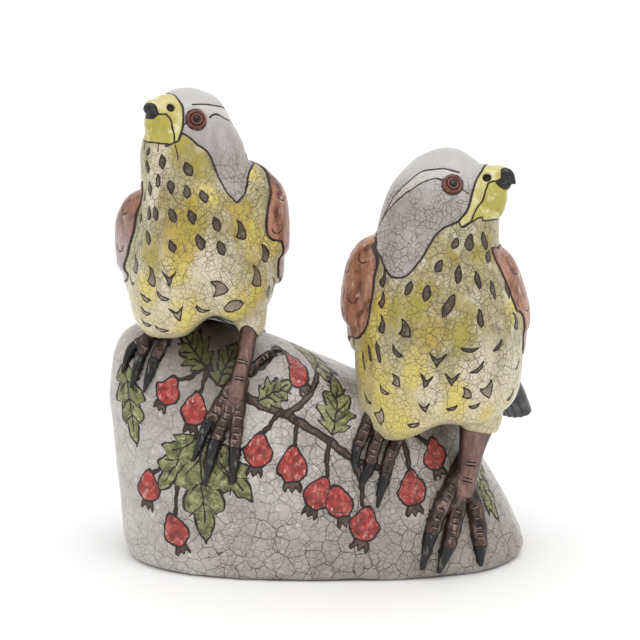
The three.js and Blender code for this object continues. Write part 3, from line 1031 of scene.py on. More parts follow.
class Mound:
    """The painted mound that both birds stand on."""

    steps = 226
    sides = 432
    back_spacing = 2.6
    front_to = 12

    def ring(self, share: Array, turn: Array) -> Array:
        """Points at shares of the height and turns from the front middle toward +X.

        A level is the curve |x/a|^p + |y/b|^p = 1: its x is a x sine^(2/p) and its y is
        -b x cosine^(2/p), each with the sign of the sine or cosine.
        """
        height, left, right, half_depth = np.moveaxis(along(MOUND_LEVELS, share), -1, 0)
        sine, cosine = np.sin(turn), np.cos(turn)
        across = np.sign(sine) * np.abs(sine) ** (2 / MOUND_POWER)
        inward = np.sign(cosine) * np.abs(cosine) ** (2 / MOUND_POWER)
        x = (left + right) / 2 + (right - left) / 2 * across
        return np.stack([x, -half_depth * inward, np.broadcast_to(height, x.shape)], -1)

    def front(self, x: float, height: float, lift: float) -> Array:
        """Point on the mound's front at an x and a height, lifted off along its normal."""

        def depth(px: float, pz: float) -> float:
            """Y of the front face."""
            _, left, right, half_depth = along(MOUND_LEVELS, share_at_height(MOUND_LEVELS, pz))
            offset = min(abs(px - (left + right) / 2) / ((right - left) / 2), 0.995)
            return -half_depth * (1 - offset**MOUND_POWER) ** (1 / MOUND_POWER)

        slope_x = (depth(x + 1, height) - depth(x - 1, height)) / 2
        slope_z = (depth(x, height + 1) - depth(x, height - 1)) / 2
        normal = normalised(np.array([slope_x, -1.0, slope_z]))
        return np.array([x, depth(x, height), height]) + normal * lift

    def _turns(self) -> Array:
        """Turns of a ring's points, closer together on the front than on the back.

        The length round a middle level, with the back's counted less, is shared out evenly.
        """
        fine = np.linspace(0, 2 * np.pi, 6001)
        outline = self.ring(np.full(fine.shape, 0.35), fine)
        lengths = np.linalg.norm(np.diff(outline, axis=0), axis=1)
        behind = outline[:-1, 1] > 0
        counted = np.where(behind, lengths / self.back_spacing, lengths)
        travelled = np.concatenate([[0], np.cumsum(counted)])
        return np.interp(np.arange(self.sides) / self.sides * travelled[-1], travelled, fine)

    def _shares(self) -> Array:
        """Shares of the height of the rings, evenly spaced down the long slope at the right end."""
        fine = np.linspace(0, 1, 2001)
        slope = self.ring(fine, np.full(fine.shape, np.pi / 2))
        travelled = np.concatenate([[0], np.cumsum(np.linalg.norm(np.diff(slope, axis=0), axis=1))])
        return np.interp(np.linspace(0, travelled[-1], self.steps + 1), travelled, fine)

    def build(self, glaze: Material, toes: list[Array]) -> None:
        """Makes the mound.

        Args:
            glaze: its finish.
            toes: the paths of the toes that lie on it, with each place's radius in the last column.
        """
        rings = self.ring(*np.broadcast_arrays(self._shares()[:, None], self._turns()[None]))
        around = self._around(rings)
        surface = Surface(clay("mound", [rings]))
        wrapped = np.concatenate([around.ravel(), rings[[0, -1]].mean(1)[:, 0]])
        surface.roughen(MOUND_WAVES)
        canvas = Canvas(len(surface.points), ("twig", "leaf", "berry", "toe_outline_and_shade"), plain=("toe_outline_and_shade",))
        hand = unsteady(surface.points, 0.6, 7, 23)
        shake = hand - surface.points
        front = np.stack([wrapped + shake[:, 0], hand[:, 2]], -1)
        FRONT_SPRAY.paint(canvas, front, surface.points[:, 1] < self.front_to)
        back = np.stack([-hand[:, 0], hand[:, 2]], -1)
        BACK_SPRAY.paint(canvas, back, surface.points[:, 1] > self.front_to)
        # Dark ring round each toe: partly a dark outline, partly painted shade where the toe meets the
        # mound
        ragged = 0.3 + 0.45 * ripple(surface.points, 2.6, 83)
        for toe in toes:
            canvas.fill("toe_outline_and_shade", ragged - room_to(hand, toe)[0])
        x, y, height = surface.points.T
        cloud = 0.15 * ripple(surface.points, 45, 29)
        # Painted shade: the mound darker toward its bottom and its right end
        low = (1 - smoothstep(15, 85, height)) * smoothstep(-100, 40, x)
        canvas.share("low_right_shade", np.clip(0.6 * low + 0.05 + cloud, 0, 0.8))
        shade = sum(
            dark * np.exp(-(((x - middle) / reach) ** 2) - ((height - level) / rise) ** 2)
            for middle, level, reach, rise, dark in UNDER_BELLIES
        )
        canvas.share("shaded", np.clip(shade * (y < 20), 0, 0.9))
        crazed = 0.38 + 0.62 * smoothstep(-190, -20, x - 0.9 * height) + cloud
        canvas.share("crazing", np.clip(crazed, 0, 1))
        surface.push(canvas.groove(*MOUND_GROOVE))
        surface.finish(canvas.values(), glaze)

    @staticmethod
    def _around(rings: Array) -> Array:
        """Millimetres round each level from its front middle, plus that middle's x.

        On the front this is close to x, and it keeps a drawing's scale where a level turns back.
        """
        steps = np.linalg.norm(np.diff(rings, axis=1, append=rings[:, :1]), axis=-1)
        travelled = np.concatenate([np.zeros((len(rings), 1)), np.cumsum(steps, 1)[:, :-1]], 1)
        total = steps.sum(1, keepdims=True)
        signed = np.where(travelled > total / 2, travelled - total, travelled)
        return signed + rings[:, :1, 0]


# The birds

HEAD_STRETCH = 1.25
BODY_STRETCH = 1.08
HEAD_BLEND = (25, 15)
BELLY_DEPTH = 60

# Share of the way down, front bearing, rear bearing and how proud the wing stands
WING_LEVELS: Rows = (
    (0, 78, 98, 2), (0.06, 67, 116, 8.5), (0.2, 64, 132, 11), (0.42, 64, 146, 10), (0.58, 67, 152, 8),
    (0.65, 78, 155, 5.5), (0.8, 86, 160, 4.5), (0.86, 110, 162, 4), (1, 148, 165, 1.5),
)
WING_ROOT_DEPTH = 7

# Millimetres that a degree of bearing counts as in a wing's outline
WING_SCALE = 0.72

# Radius and rise of an eye's turned profile, from the root to the middle of the pupil
EYE_PROFILE: Rows = (
    (5.6, -4), (5.6, -1), (5.6, 0.3), (5.2, 1.1), (4.6, 1.3), (4.0, 0.9), (3.6, 1.0), (3.1, 1.7),
    (2.6, 1.5), (2.2, 1.6), (1.6, 2.0), (0.9, 2.2), (0.1, 2.25),
)
EYE_RADIUS = 5.6
IRIS_RADIUS = 3.7
PUPIL_RADIUS = 2.2

TOE_RADII = (3.8, 4.1, 4, 3.6, 1.3)
TOE_LIFT = 2.2
PATH_SAMPLES = 28

# Wrinkles: the gaps between them, their half lengths and the shifts of their lines
LEG_WRINKLES = ((9, 13), (2.0, 3.0), (0, 1.9))
TOE_WRINKLES = ((2.8, 6.2), (0.8, 2.0), (0,))

# Cell side and smoothing of the fused skins
BODY_SKIN = (0.75, 7)
FEET_SKIN = (0.45, 3)
BODY_WAVES: Rows = ((0.35, 30, 3), (0.15, 11, 5))

# Shares of a wing's length with a row of scallops, and places of the lines between long feathers
SCALLOP_ROWS = (0.14, 0.27, 0.4, 0.53)
WING_LINES = (0.25, 0.42, 0.58, 0.75)
TAIL_LINES = (-0.75, -0.45, -0.15, 0.15, 0.45, 0.75)

# Painted shares that stain the breast, and how much less their height counts than their width
STAINS = ("ochre", "olive", "yellow", "pale")
STAIN_SQUASH = 0.65

# Ends of gradual changes: above a body's foot, and about the eye and the border of the lilac feathers
BELLY_FADE = (12, 66)
CRAZING_FADE = (10, 60)
CROWN_FADE = (-14, 9)
LILAC_FADE = (-14, 14)

# Depth and width of the incised lines
BODY_GROOVE = (0.35, 1.2)
TAIL_GROOVE = (0.5, 1.5)
FEET_GROOVE = (0.3, 0.7)


@dataclass(frozen=True)
class Belly:
    """Underside of a body: its tilt in degrees, and the arch over the mound beside the leg."""

    tilt: float
    arch_x: float
    arch_height: float
    arch_width: float


@dataclass(frozen=True)
class Wing:
    """One wing: -1 for the viewer's left or 1 for the right, its top and foot, and its rise.

    The edge runs down the front of the painted wing, as bearings away from the viewer and heights.
    Below the lilac height the feathers are lilac.
    """

    side: int
    top: float
    foot: float
    rise: float
    lilac: float
    edge: Rows


@dataclass(frozen=True)
class Toe:
    """One toe: its share of the usual thickness, where its claw begins, and its places on the front."""

    thickness: float
    claw: float
    places: Rows


@dataclass(frozen=True)
class Face:
    """Lines of a painted head in side view: millimetres forward of its axis, and height."""

    axis: Pair
    cap_edge: Rows
    bill_base: Rows
    chin: Rows
    mouth: Rows
    brow_top: Rows
    brow_foot: Rows
    lore: Rows
    tip: Rows
    tip_half_width: float
    smooth_from: float
    nostril: tuple[float, float, float]
    ticks: tuple[Rows, ...]


@dataclass(frozen=True)
class Marks:
    """Breast marks of one shape: half width, half height, lean, and the bearing and height of each."""

    mark: Mark
    half_width: float
    half_height: float
    lean: float
    places: Rows


@dataclass(frozen=True)
class Stain:
    """Soft patches of one colour on the breast: the bearing, height and reach of each."""

    share: str
    places: Rows


@dataclass(frozen=True)
class BirdShape:
    """Sizes of one bird, as the part's own source gives them, and what is drawn on it."""

    name: str
    centre: Pair
    body: Rows
    belly: Belly
    head_from: float
    head_bearing: float
    wing_bearing: float
    wings: tuple[Wing, Wing]
    bill: Rows
    upper_tip: Rows
    lower_tip: Rows
    eye_height: float
    eye_bearing: float
    tail: Rows
    thigh: Rows
    leg: Rows
    toes: tuple[Toe, ...]
    face: Face
    breast: tuple[Marks, ...]
    stains: tuple[Stain, ...]

    def skin(self, share: Array | float, bearing: Array | float, rise: Array | float = 0.0) -> Array:
        """Points of the body at shares of its height and bearings, moved out by rise.

        A level is an ellipse whose long half is the short one times a stretch, turned to the long
        axis's bearing: the radius is short / hypot(cos / stretch, sin) of the bearing off that axis.
        The belly is then tilted and arched, less and less up to its depth.
        """
        share, bearing, rise = np.broadcast_arrays(share, bearing, rise)
        height, x, y, seen_half, turn = np.moveaxis(along(self.body, share), -1, 0)
        below, above = HEAD_BLEND
        head_share = smoothstep(self.head_from - below, self.head_from + above, height)
        stretch = BODY_STRETCH + (HEAD_STRETCH - BODY_STRETCH) * head_share
        turned = np.radians(turn)
        half_width = seen_half / np.hypot(stretch * np.sin(turned), np.cos(turned))
        off = np.radians(bearing - turn)
        radius = half_width / np.hypot(np.cos(off) / stretch, np.sin(off))
        points = np.stack([x, y, height], -1) + heading(bearing) * (radius + rise)[..., None]
        bottom = self.body[0][0]
        belly_share = 1 - smoothstep(bottom, bottom + BELLY_DEPTH, height)
        off_arch = (points[..., 0] - self.belly.arch_x) / self.belly.arch_width
        arch = self.belly.arch_height * np.exp(-(off_arch**2))
        tilt = (points[..., 0] - x) * math.tan(math.radians(self.belly.tilt))
        points[..., 2] += belly_share * (tilt + belly_share**2 * arch)
        return points

    def share_of(self, height: Array | float) -> Array:
        """Share of the way up the body at which it reaches a height."""
        return share_at_height(self.body, height)

    def spot(self, height: float, bearing: float) -> tuple[Array, Array]:
        """A point of the body and the direction outward there."""
        share = self.share_of(height)
        sideways = self.skin(share, bearing + 2) - self.skin(share, bearing - 2)
        higher, lower = self.share_of(height + 2), self.share_of(height - 2)
        upward = self.skin(higher, bearing) - self.skin(lower, bearing)
        return self.skin(share, bearing), normalised(np.cross(sideways, upward))


LEFT_BIRD = BirdShape(
    name="left_bird",
    centre=(-70, -18),
    body=(
        (137, -82, -24, 8, 0), (141.5, -79, -22, 24, 0), (149, -71.5, -19, 37.5, 0),
        (164, -69.5, -17, 43, 0), (184, -69.5, -17, 42.5, 0), (204, -69.5, -19, 39, -8),
        (222, -69, -20, 34.5, -25), (235, -72.5, -20, 31, -40), (250, -74, -21, 29, -48),
        (264, -75, -22, 23, -48), (275, -75.5, -22, 17.5, -48), (281, -78, -21, 10, -48),
        (283, -78, -20, 3, -48),
    ),
    belly=Belly(tilt=4, arch_x=-62, arch_height=10.5, arch_width=12),
    head_from=222, head_bearing=-48, wing_bearing=-4,
    wings=(
        Wing(-1, 223, 147, 1.05, 198, (
            (62, 230), (65, 222), (67, 208), (68, 201), (73, 187), (78, 180), (82, 172),
        )),
        Wing(1, 241, 149, 1.2, 172, (
            (96, 244), (82, 234), (71, 222), (64, 205), (68, 197), (80, 192), (86, 172),
        )),
    ),
    bill=(
        (6, 262, 13.5, 16), (15, 265, 12.5, 15.5), (22, 266.5, 11, 14.5), (26.5, 267.5, 8.5, 11.5),
        (29, 268, 4.5, 7),
    ),
    upper_tip=((20, 273, 5, 4.6), (24.5, 274, 4.8, 4.4), (28.5, 273.8, 4.2, 4), (31.5, 272.4, 2.4, 2.4)),
    lower_tip=((22, 268, 4.8, 3.2), (26, 268, 4.4, 3), (30.5, 268, 2.8, 2.2)),
    eye_height=267, eye_bearing=62,
    tail=(
        (-70, -2, 166, 28, 24), (-63, 18, 154, 24, 16), (-56, 34, 141, 19, 10), (-50, 49, 128, 16, 6),
        (-45, 63, 113, 14, 4),
    ),
    thigh=((-47, -18, 172, 14), (-43, -25, 156, 12.5), (-40.5, -31, 146, 9), (-41, -35, 139, 5.5)),
    leg=((-41, -34, 144, 5.4), (-43.5, -39, 130, 5), (-46.5, -44, 119, 5), (-49, -49, 106, 5.6)),
    toes=(
        Toe(0.85, 0.6, ((-91, 141), (-97.5, 136.5), (-104, 133), (-110.5, 128), (-115, 116))),
        Toe(0.85, 0.6, ((-96, 141), (-101, 133.5), (-104, 127), (-107, 117), (-110, 108.5))),
        Toe(0.85, 0.62, ((-87, 141), (-92, 132), (-95.5, 126.5), (-99, 117), (-102, 107))),
        Toe(0.95, 0.58, ((-47, 118), (-54.5, 107), (-61, 97), (-67, 86), (-73, 70.5))),
        Toe(1, 0.58, ((-48, 114), (-54, 96), (-58.5, 86), (-62, 76), (-66.5, 56.5))),
        Toe(1, 0.66, ((-45, 114), (-47.5, 96), (-48.5, 86), (-49.5, 76), (-50.5, 58))),
        Toe(0.55, 0.62, ((-42, 117), (-38, 121.5), (-33, 124.5), (-28, 126), (-23, 125.5))),
    ),
    face=Face(
        axis=(-75, -22),
        cap_edge=(
            (-40, 243), (-30, 240), (-20, 237), (-14.4, 226), (-4, 220.5), (-1.3, 222.3), (1.2, 226.8),
            (3, 236.2), (6, 246.5), (12.9, 254.2), (18.4, 260),
        ),
        bill_base=((13.4, 280.3), (13.8, 279.1), (14.6, 272.3), (17, 264.2), (19, 259.5), (20.9, 255.5)),
        chin=((20.9, 255.5), (23, 254.4), (26.6, 252.6), (28.2, 254), (60, 254)),
        mouth=((60, 270), (27.9, 270.4), (24.8, 270.3), (22.4, 266), (22, 260), (22.9, 254.6)),
        brow_top=((8.7, 275.4), (1.1, 274.8), (-13.4, 272), (-22, 268), (-30, 262)),
        brow_foot=((0.4, 267.8), (-3.8, 268.9), (-12.4, 266), (-21, 262), (-29, 257)),
        lore=((16.4, 264.7), (12.9, 267.3)),
        tip=(
            (60, 276.6), (31.6, 276.4), (29.2, 275.9), (28, 273.6), (27.8, 270.4), (28.8, 268),
            (60, 266.8),
        ),
        tip_half_width=5.2, smooth_from=248,
        nostril=(20.9, 8.8, 274.2),
        ticks=(((28.5, 254.3), (29.6, 249.3)), ((22.9, 253.3), (23.2, 245))),
    ),
    breast=(
        Marks(Mark.DROP, 1.2, 2.6, 0, ((-49, 249), (-60, 222), (-61, 210))),
        Marks(Mark.DROP, 1.7, 3.6, -8, (
            (-30, 244), (-50, 240), (-35, 233), (-22, 230), (-8, 227.5), (-47, 228),
        )),
        Marks(Mark.DROP, 2.1, 4.0, -22, (
            (-3, 240), (-21, 214.5), (15, 209.5), (2, 200), (-5, 214), (-47, 214),
        )),
        Marks(Mark.DROP, 2.2, 3.8, -14, (
            (6, 225), (-38, 214.5), (-20, 197), (18, 196), (-44, 200), (66, 164),
        )),
        Marks(Mark.FIN, 4.2, 6.6, -14, ((36, 205), (47, 176.5))),
        Marks(Mark.FIN, 5.6, 5.6, -34, ((14, 172.5),)),
        Marks(Mark.FIN, 3.2, 5.8, -12, ((60, 189), (78, 166), (-38, 178.5), (-60, 183))),
        Marks(Mark.CHEVRON, 4.4, 4.6, -6, ((-21, 178.5), (-15, 158))),
        Marks(Mark.CRESCENT, 5.0, 2.8, 14, (
            (-66, 174), (-44, 167), (-46, 159), (-48, 151.5), (-30, 149),
        )),
        Marks(Mark.CRESCENT, 4.0, 2.8, 24, ((-26, 169), (4, 158))),
        Marks(Mark.DROP, 3.2, 6.2, 82, ((27, 159.5),)),
    ),
    stains=(
        Stain("ochre", ((-14.5, 201, 12), (39, 216, 11), (-3, 224.5, 7))),
        Stain("olive", ((-10, 253, 10), (9, 242, 9), (-40, 189, 8), (-5, 212, 14))),
        Stain("yellow", (
            (74, 233, 11), (50, 202, 12), (69, 193, 11), (-14, 186, 11), (-42, 170, 10), (31, 156, 11),
        )),
        Stain("yellow", ((-8, 153, 12), (48, 165, 10), (12, 226, 7))),
        Stain("pale", (
            (-32, 246, 8), (-46, 221, 10), (-39, 233, 9), (6, 186, 14), (-21.5, 167, 12), (55, 150, 10),
            (15, 172, 9),
        )),
    ),
)

RIGHT_BIRD = BirdShape(
    name="right_bird",
    centre=(70, -27),
    body=(
        (80.5, 50, -38, 8, 0), (84.5, 56, -37, 25, 0), (91, 65, -33, 39, 0), (100, 69.5, -29, 46.5, 0),
        (118, 70, -27, 49, 0), (138, 70, -27, 49.5, 0), (156, 70.5, -27, 47.5, 0),
        (174, 69.5, -27, 42, 8), (190, 68.5, -27, 36.5, 28), (204, 69, -26, 34.5, 50),
        (216, 71, -26, 33.5, 62), (228, 71, -26, 28.5, 62), (239, 72.5, -25, 20.5, 62),
        (246, 73, -25, 10.5, 62), (248.5, 73, -25, 3, 62),
    ),
    belly=Belly(tilt=6, arch_x=70, arch_height=7.5, arch_width=14),
    head_from=204, head_bearing=62, wing_bearing=0,
    wings=(
        Wing(-1, 197, 114, 1.2, 128, (
            (88, 200), (69, 189), (63, 172), (60, 156), (62, 147), (72, 140), (90, 137),
        )),
        Wing(1, 190, 114, 0.5, 122, (
            (50, 194), (53, 188), (60, 174), (61, 160), (68, 155), (74, 146), (78, 130),
        )),
    ),
    bill=(
        (8, 222, 13.5, 17.5), (20, 224, 12.5, 17), (30, 225, 11, 16), (35.5, 226, 8.5, 13.5),
        (38.5, 226.5, 5, 8),
    ),
    upper_tip=((28, 235, 5.6, 5), (35.5, 236, 5, 4.6), (40.5, 234.8, 3.6, 3.8), (44.5, 231, 0.9, 1.1)),
    lower_tip=((32, 230, 4.6, 3.4), (37, 229.6, 4.2, 3.2), (41.5, 229.2, 2.4, 2.2)),
    eye_height=231, eye_bearing=52,
    tail=(
        (72, -4, 132, 30, 24), (86, 13, 121, 24, 16), (100, 27, 109, 18, 10), (112, 42, 92, 15.5, 8),
        (122, 57, 72, 13, 6.5),
    ),
    thigh=((90, -38, 103, 18), (93, -41, 93, 14.5), (92.5, -42, 84, 10.5)),
    leg=((92, -42, 88, 10.5), (89, -43, 73, 7.6), (87, -46, 61, 6.4), (83.5, -50, 47, 6)),
    toes=(
        Toe(1, 0.72, ((32, 98), (28, 91), (25, 85), (21.5, 77), (20, 66.5))),
        Toe(1, 0.68, ((36, 92), (34, 84), (30.5, 75), (28.5, 67), (23, 55))),
        Toe(1, 0.62, ((47, 88), (43.5, 79), (40, 71.5), (37.5, 62), (33, 44.5))),
        Toe(1.25, 0.73, ((85, 66), (77.5, 54), (70, 42), (65, 29), (59, 8))),
        Toe(1.25, 0.73, ((83, 54), (79, 38), (76.5, 28), (73.5, 18), (69, 5.5))),
        Toe(1.25, 0.78, ((85, 54), (90, 38), (92, 28), (93, 18), (93.5, 6.5))),
    ),
    face=Face(
        axis=(72, -25),
        cap_edge=(
            (-44, 202), (-36, 199), (-30.3, 195.7), (-27.9, 191.3), (-20.5, 183.9), (-12.4, 178.6),
            (-4, 180), (0, 182.8), (5.1, 190.2), (8.8, 200), (12.6, 206.1), (20.8, 210.6),
        ),
        bill_base=((27.3, 238.3), (25.2, 231.9), (24.7, 223.4), (24.1, 216.4), (21.1, 211)),
        chin=((21.1, 211), (23.4, 207.7), (27.1, 210.3), (30.7, 212.6), (34.2, 210), (60, 209)),
        mouth=((60, 233), (35.3, 232.7), (31.7, 229.4), (29.9, 221.9), (28, 216.2), (26.8, 210.6)),
        brow_top=((15.5, 237.3), (5.5, 239), (-5.6, 236.5), (-13.3, 230.5), (-22.6, 220.5), (-30, 207)),
        brow_foot=((7.6, 233.1), (3.4, 233.7), (-5.1, 230.2), (-16.6, 221.4), (-27, 211.5), (-33, 203)),
        lore=((19.6, 228.4), (23.4, 226.2)),
        tip=(
            (60, 240), (39.4, 239.6), (38, 237.6), (38.3, 234.4), (36.6, 232.8), (36.4, 230.4),
            (38.4, 227.6), (60, 227),
        ),
        tip_half_width=7.6, smooth_from=243,
        nostril=(30.9, 8.8, 234.8),
        ticks=(),
    ),
    breast=(
        Marks(Mark.DROP, 1.9, 3.4, 20, ((13, 199), (-2, 187), (45, 190))),
        Marks(Mark.DROP, 2.2, 4.6, 12, ((26, 199), (-12, 172), (-26, 174))),
        Marks(Mark.DROP, 1.6, 4.8, 2, (
            (42, 199), (13, 182.5), (28, 178.5), (40, 172), (24, 158), (58, 170),
        )),
        Marks(Mark.DROP, 2.3, 6.6, 22, ((3, 165.5),)),
        Marks(Mark.FIN, 2.4, 5.2, -10, ((-54, 177), (-50, 165.5), (-46, 152), (58, 152))),
        Marks(Mark.DROP, 1.2, 5.6, -12, ((-55, 134), (-46, 136), (-64, 128))),
        Marks(Mark.FIN, 4.0, 5.4, -16, ((-27, 152),)),
        Marks(Mark.CRESCENT, 6.0, 2.8, 0, ((16, 142),)),
        Marks(Mark.CRESCENT, 4.4, 2.8, 34, ((-30, 139), (-41, 116), (-60, 109))),
        Marks(Mark.CRESCENT, 4.8, 2.8, -40, ((37, 141.5), (21, 130), (55, 107), (62, 126))),
        Marks(Mark.CRESCENT, 3.2, 2.2, -14, ((5, 106), (20, 107), (-19, 97.5))),
        Marks(Mark.CHEVRON, 5.0, 4.0, 2, ((-4, 135.5), (5, 124))),
        Marks(Mark.CHEVRON, 3.6, 4.2, 12, ((-11, 122.5),)),
        Marks(Mark.CHEVRON, 3.0, 2.6, 0, ((-12, 107),)),
        Marks(Mark.FIN, 4.8, 4.6, 28, ((30, 116), (-47, 101.5))),
        Marks(Mark.FIN, 2.8, 3.8, -20, ((-32, 122), (14, 115))),
    ),
    stains=(
        Stain("ochre", ((-10, 149, 9), (-60, 137, 9), (-52, 160, 7))),
        Stain("olive", ((-20, 164, 12), (-35, 161, 10), (10, 149.5, 11), (34, 193, 8))),
        Stain("yellow", ((-49, 160, 8), (-55, 143, 13), (-66, 126, 14), (-42, 115, 15), (7, 112, 11))),
        Stain("yellow", ((-30, 99, 14), (-18, 129, 11), (56, 159, 7), (34, 96, 9))),
        Stain("pale", ((23.5, 125.5, 17), (50, 123, 14), (-10, 120, 9), (30, 105, 11))),
    ),
)


class SideView:
    """A head seen from its own side, so that both sides are painted alike."""

    least_slope = 0.3

    def __init__(self, surface: Surface, axis: Pair, bearing: float) -> None:
        """Works out each point's place forward, sideways and up."""
        forward = heading(bearing)
        sideways = np.array([-forward[1], forward[0], 0.0])
        offset = surface.points - np.array([*axis, 0.0])
        hand = unsteady(surface.points, 0.3, 11, 41) - surface.points
        self.flat = np.stack([offset @ forward, surface.points[:, 2]], -1) + hand[:, :2]
        self.side = np.abs(offset @ sideways)
        self.normal = np.stack([surface.normals @ forward, surface.normals[:, 2]], -1)

    def _over_surface(self, distance: Array, nearest: Array) -> Array:
        """Distance over the surface: the flat one over the sine from its direction to the normal."""
        direction = (self.flat - nearest) / np.maximum(np.abs(distance), TINY)[:, None]
        leaning = (direction * self.normal).sum(1)
        return distance / np.sqrt(np.maximum(1 - leaning**2, self.least_slope**2))

    def line(self, points: Rows) -> Array:
        """Distance to a smooth line."""
        distance, nearest, _ = nearest_on_path(self.flat, smooth_path(points))
        return self._over_surface(distance, nearest)

    def area(self, *lines: Rows) -> Array:
        """Signed distance to the outline that the given lines make end to end."""
        sides = [smooth_path(line, 30) if len(line) > 2 else np.array(line) for line in lines]
        return self._over_surface(*from_outline(self.flat, np.concatenate(sides)))


class Bird:
    """One thrush: body with head, bill, wings and thigh, eyes, tail, and the feet on the mound."""

    def __init__(self, shape: BirdShape, mound: Mound) -> None:
        """Finds where the toes lie on the mound."""
        self.shape = shape
        self.toes = [
            np.array([
                [*mound.front(x, z, TOE_LIFT), radius * toe.thickness]
                for (x, z), radius in zip(toe.places, TOE_RADII)
            ])
            for toe in shape.toes
        ]

    def toe_paths(self) -> list[Array]:
        """Smooth path of each toe, with its radius in the last column."""
        return [smooth_path(toe, PATH_SAMPLES) for toe in self.toes]

    def _foot_paths(self) -> list[Array]:
        """Paths of the toes and, last, of the leg."""
        return [*self.toe_paths(), smooth_path(self.shape.leg, PATH_SAMPLES)]

    def build(self, glazes: dict[str, Material]) -> None:
        """Makes every piece of the bird."""
        self._body(glazes["bird_glaze"])
        for side, hand in ((-1, "left"), (1, "right")):
            self._eye(side, hand, glazes["eye_glaze"])
        self._tail(glazes["tail_glaze"])
        self._feet(glazes["foot_glaze"])

    # Body

    def _along_head(self, rows: Rows) -> Rows:
        """Rows of a bill, given outward from the head's axis, as places in space."""
        _, x, y, _, _ = along(self.shape.body, self.shape.share_of(rows[0][1]))
        direction = heading(self.shape.head_bearing)
        return tuple(
            (x + direction[0] * reach, y + direction[1] * reach, height, half_width, half_height)
            for reach, height, half_width, half_height in rows
        )

    def _wing_form(self, wing: Wing) -> Array:
        """Rings of a wing that hugs the body and swells gently from its edges.

        Its section runs from the front bearing to the rear one: outward it rises by rise x sine^2,
        and inward it goes the root depth x sine into the body.
        """
        share = np.linspace(0, 1, 110)[:, None]
        angle = np.linspace(0, 2 * np.pi, 120, endpoint=False)[None]
        down, front, rear, rise = np.moveaxis(along(WING_LEVELS, share), -1, 0)
        height = wing.top + (wing.foot - wing.top) * down
        across = (front + rear) / 2 + (rear - front) / 2 * np.cos(angle)
        bearing = self.shape.wing_bearing + wing.side * across
        swell = np.sin(angle)
        depth = np.where(swell > 0, rise * wing.rise * swell, WING_ROOT_DEPTH) * swell
        return self.shape.skin(self.shape.share_of(height), bearing, depth)

    def _body(self, glaze: Material) -> None:
        """Body, wings, head, bill and thigh in one skin, with all that is incised on them."""
        shape = self.shape
        share = np.linspace(0, 1, 190)[:, None]
        bearing = np.linspace(0, 360, 260, endpoint=False)[None]
        forms = [
            shape.skin(share, bearing),
            *(self._wing_form(wing) for wing in shape.wings),
            tube(self._along_head(shape.bill), UP, 50, 60, cap=1.5),
            tube(self._along_head(shape.upper_tip), UP, 40, 40, cap=1.0),
            tube(self._along_head(shape.lower_tip), UP, 40, 40, cap=1.0),
            tube(shape.thigh, TO_VIEWER, 50, 60),
        ]
        surface = Surface(fused(f"{shape.name}_body", forms, *BODY_SKIN))
        surface.roughen(BODY_WAVES)
        areas = ("cap", "mantle", "wing", "mark", "bill", "jaw", "tip")
        canvas = Canvas(len(surface.points), areas, plain=("mantle",))
        self._paint_back(canvas, surface)
        raised = sum(self._paint_wing(canvas, surface, wing) for wing in shape.wings)
        self._paint_breast(canvas, surface)
        view = SideView(surface, shape.face.axis, shape.head_bearing)
        dent = self._paint_face(canvas, surface, view)
        for path in self._foot_paths():
            canvas.stroke(np.maximum(room_to(surface.points, path)[0], 0), 0.15)
        self._shade(canvas, surface)
        surface.push(canvas.groove(*BODY_GROOVE) - dent + raised)
        surface.finish(canvas.values(), glaze)

    def _shade(self, canvas: Canvas, surface: Surface) -> None:
        """Paler belly and crown, each partly painted light, lilac feathers, and how strongly the glaze
        is crazed.

        The glaze is crazed fully on the breast and cheek, and little on the crown, bill and wings.
        """
        height = surface.points[:, 2]
        cloud = 6 * ripple(surface.points, 32, 19)
        bottom = self.shape.body[0][0]
        # Paler belly: partly the bird's own pale underside, partly painted light thrown up from below
        canvas.share("belly", 0.65 * (1 - smoothstep(*BELLY_FADE, height + cloud - bottom)))
        # Paler crown: partly the cap's own pale grey, partly painted light from above
        crown = smoothstep(*CROWN_FADE, height + 0.3 * cloud - self.shape.eye_height)
        canvas.share("crown", 0.95 * crown)
        lilac = [wing.lilac for wing in self.shape.wings]
        border = np.where(surface.points[:, 0] < self.shape.centre[0], lilac[0], lilac[1])
        canvas.share("lilac", 0.85 * (1 - smoothstep(*LILAC_FADE, height + cloud - border)))
        bill = smoothstep(-1.5, 0.5, np.maximum(canvas.areas["bill"], canvas.areas["jaw"]))
        feathered = smoothstep(-1.5, 1.5, canvas.areas["wing"])
        smooth = smoothstep(-16, 12, height + cloud - self.shape.face.smooth_from)
        low = 1 - smoothstep(*CRAZING_FADE, height + cloud - bottom)
        crazed = (1 - 0.88 * smooth) * (1 - 0.8 * crown) * (1 - 0.85 * bill)
        canvas.share("crazing", crazed * (1 - 0.4 * low) * (1 - 0.55 * feathered))
        for name in STAINS:
            canvas.share(name, self._stained(surface, name))

    def _stained(self, surface: Surface, name: str) -> Array:
        """How strongly one colour stains each point: fully at a patch's middle, and less outward."""
        broad, fine = unsteady(surface.points, 2.5, 14, 13), unsteady(surface.points, 1.2, 4, 43)
        brushed = broad + fine - surface.points
        stained = np.zeros(len(brushed))
        stains = [stain for stain in self.shape.stains if stain.share == name]
        for bearing, height, reach in (place for stain in stains for place in stain.places):
            centre, _ = self.shape.spot(height, bearing)
            away = np.linalg.norm((brushed - centre) * (1, 1, STAIN_SQUASH), axis=1)
            stained = np.maximum(stained, 0.9 * (1 - smoothstep(0.2 * reach, 1.2 * reach, away)))
        return stained

    def _bearings(self, surface: Surface) -> Array:
        """Bearing of each point about the body's middle, the way each wing is given."""
        offset = surface.points[:, :2] - self.shape.centre
        return np.degrees(np.arctan2(offset[:, 0], -offset[:, 1]))

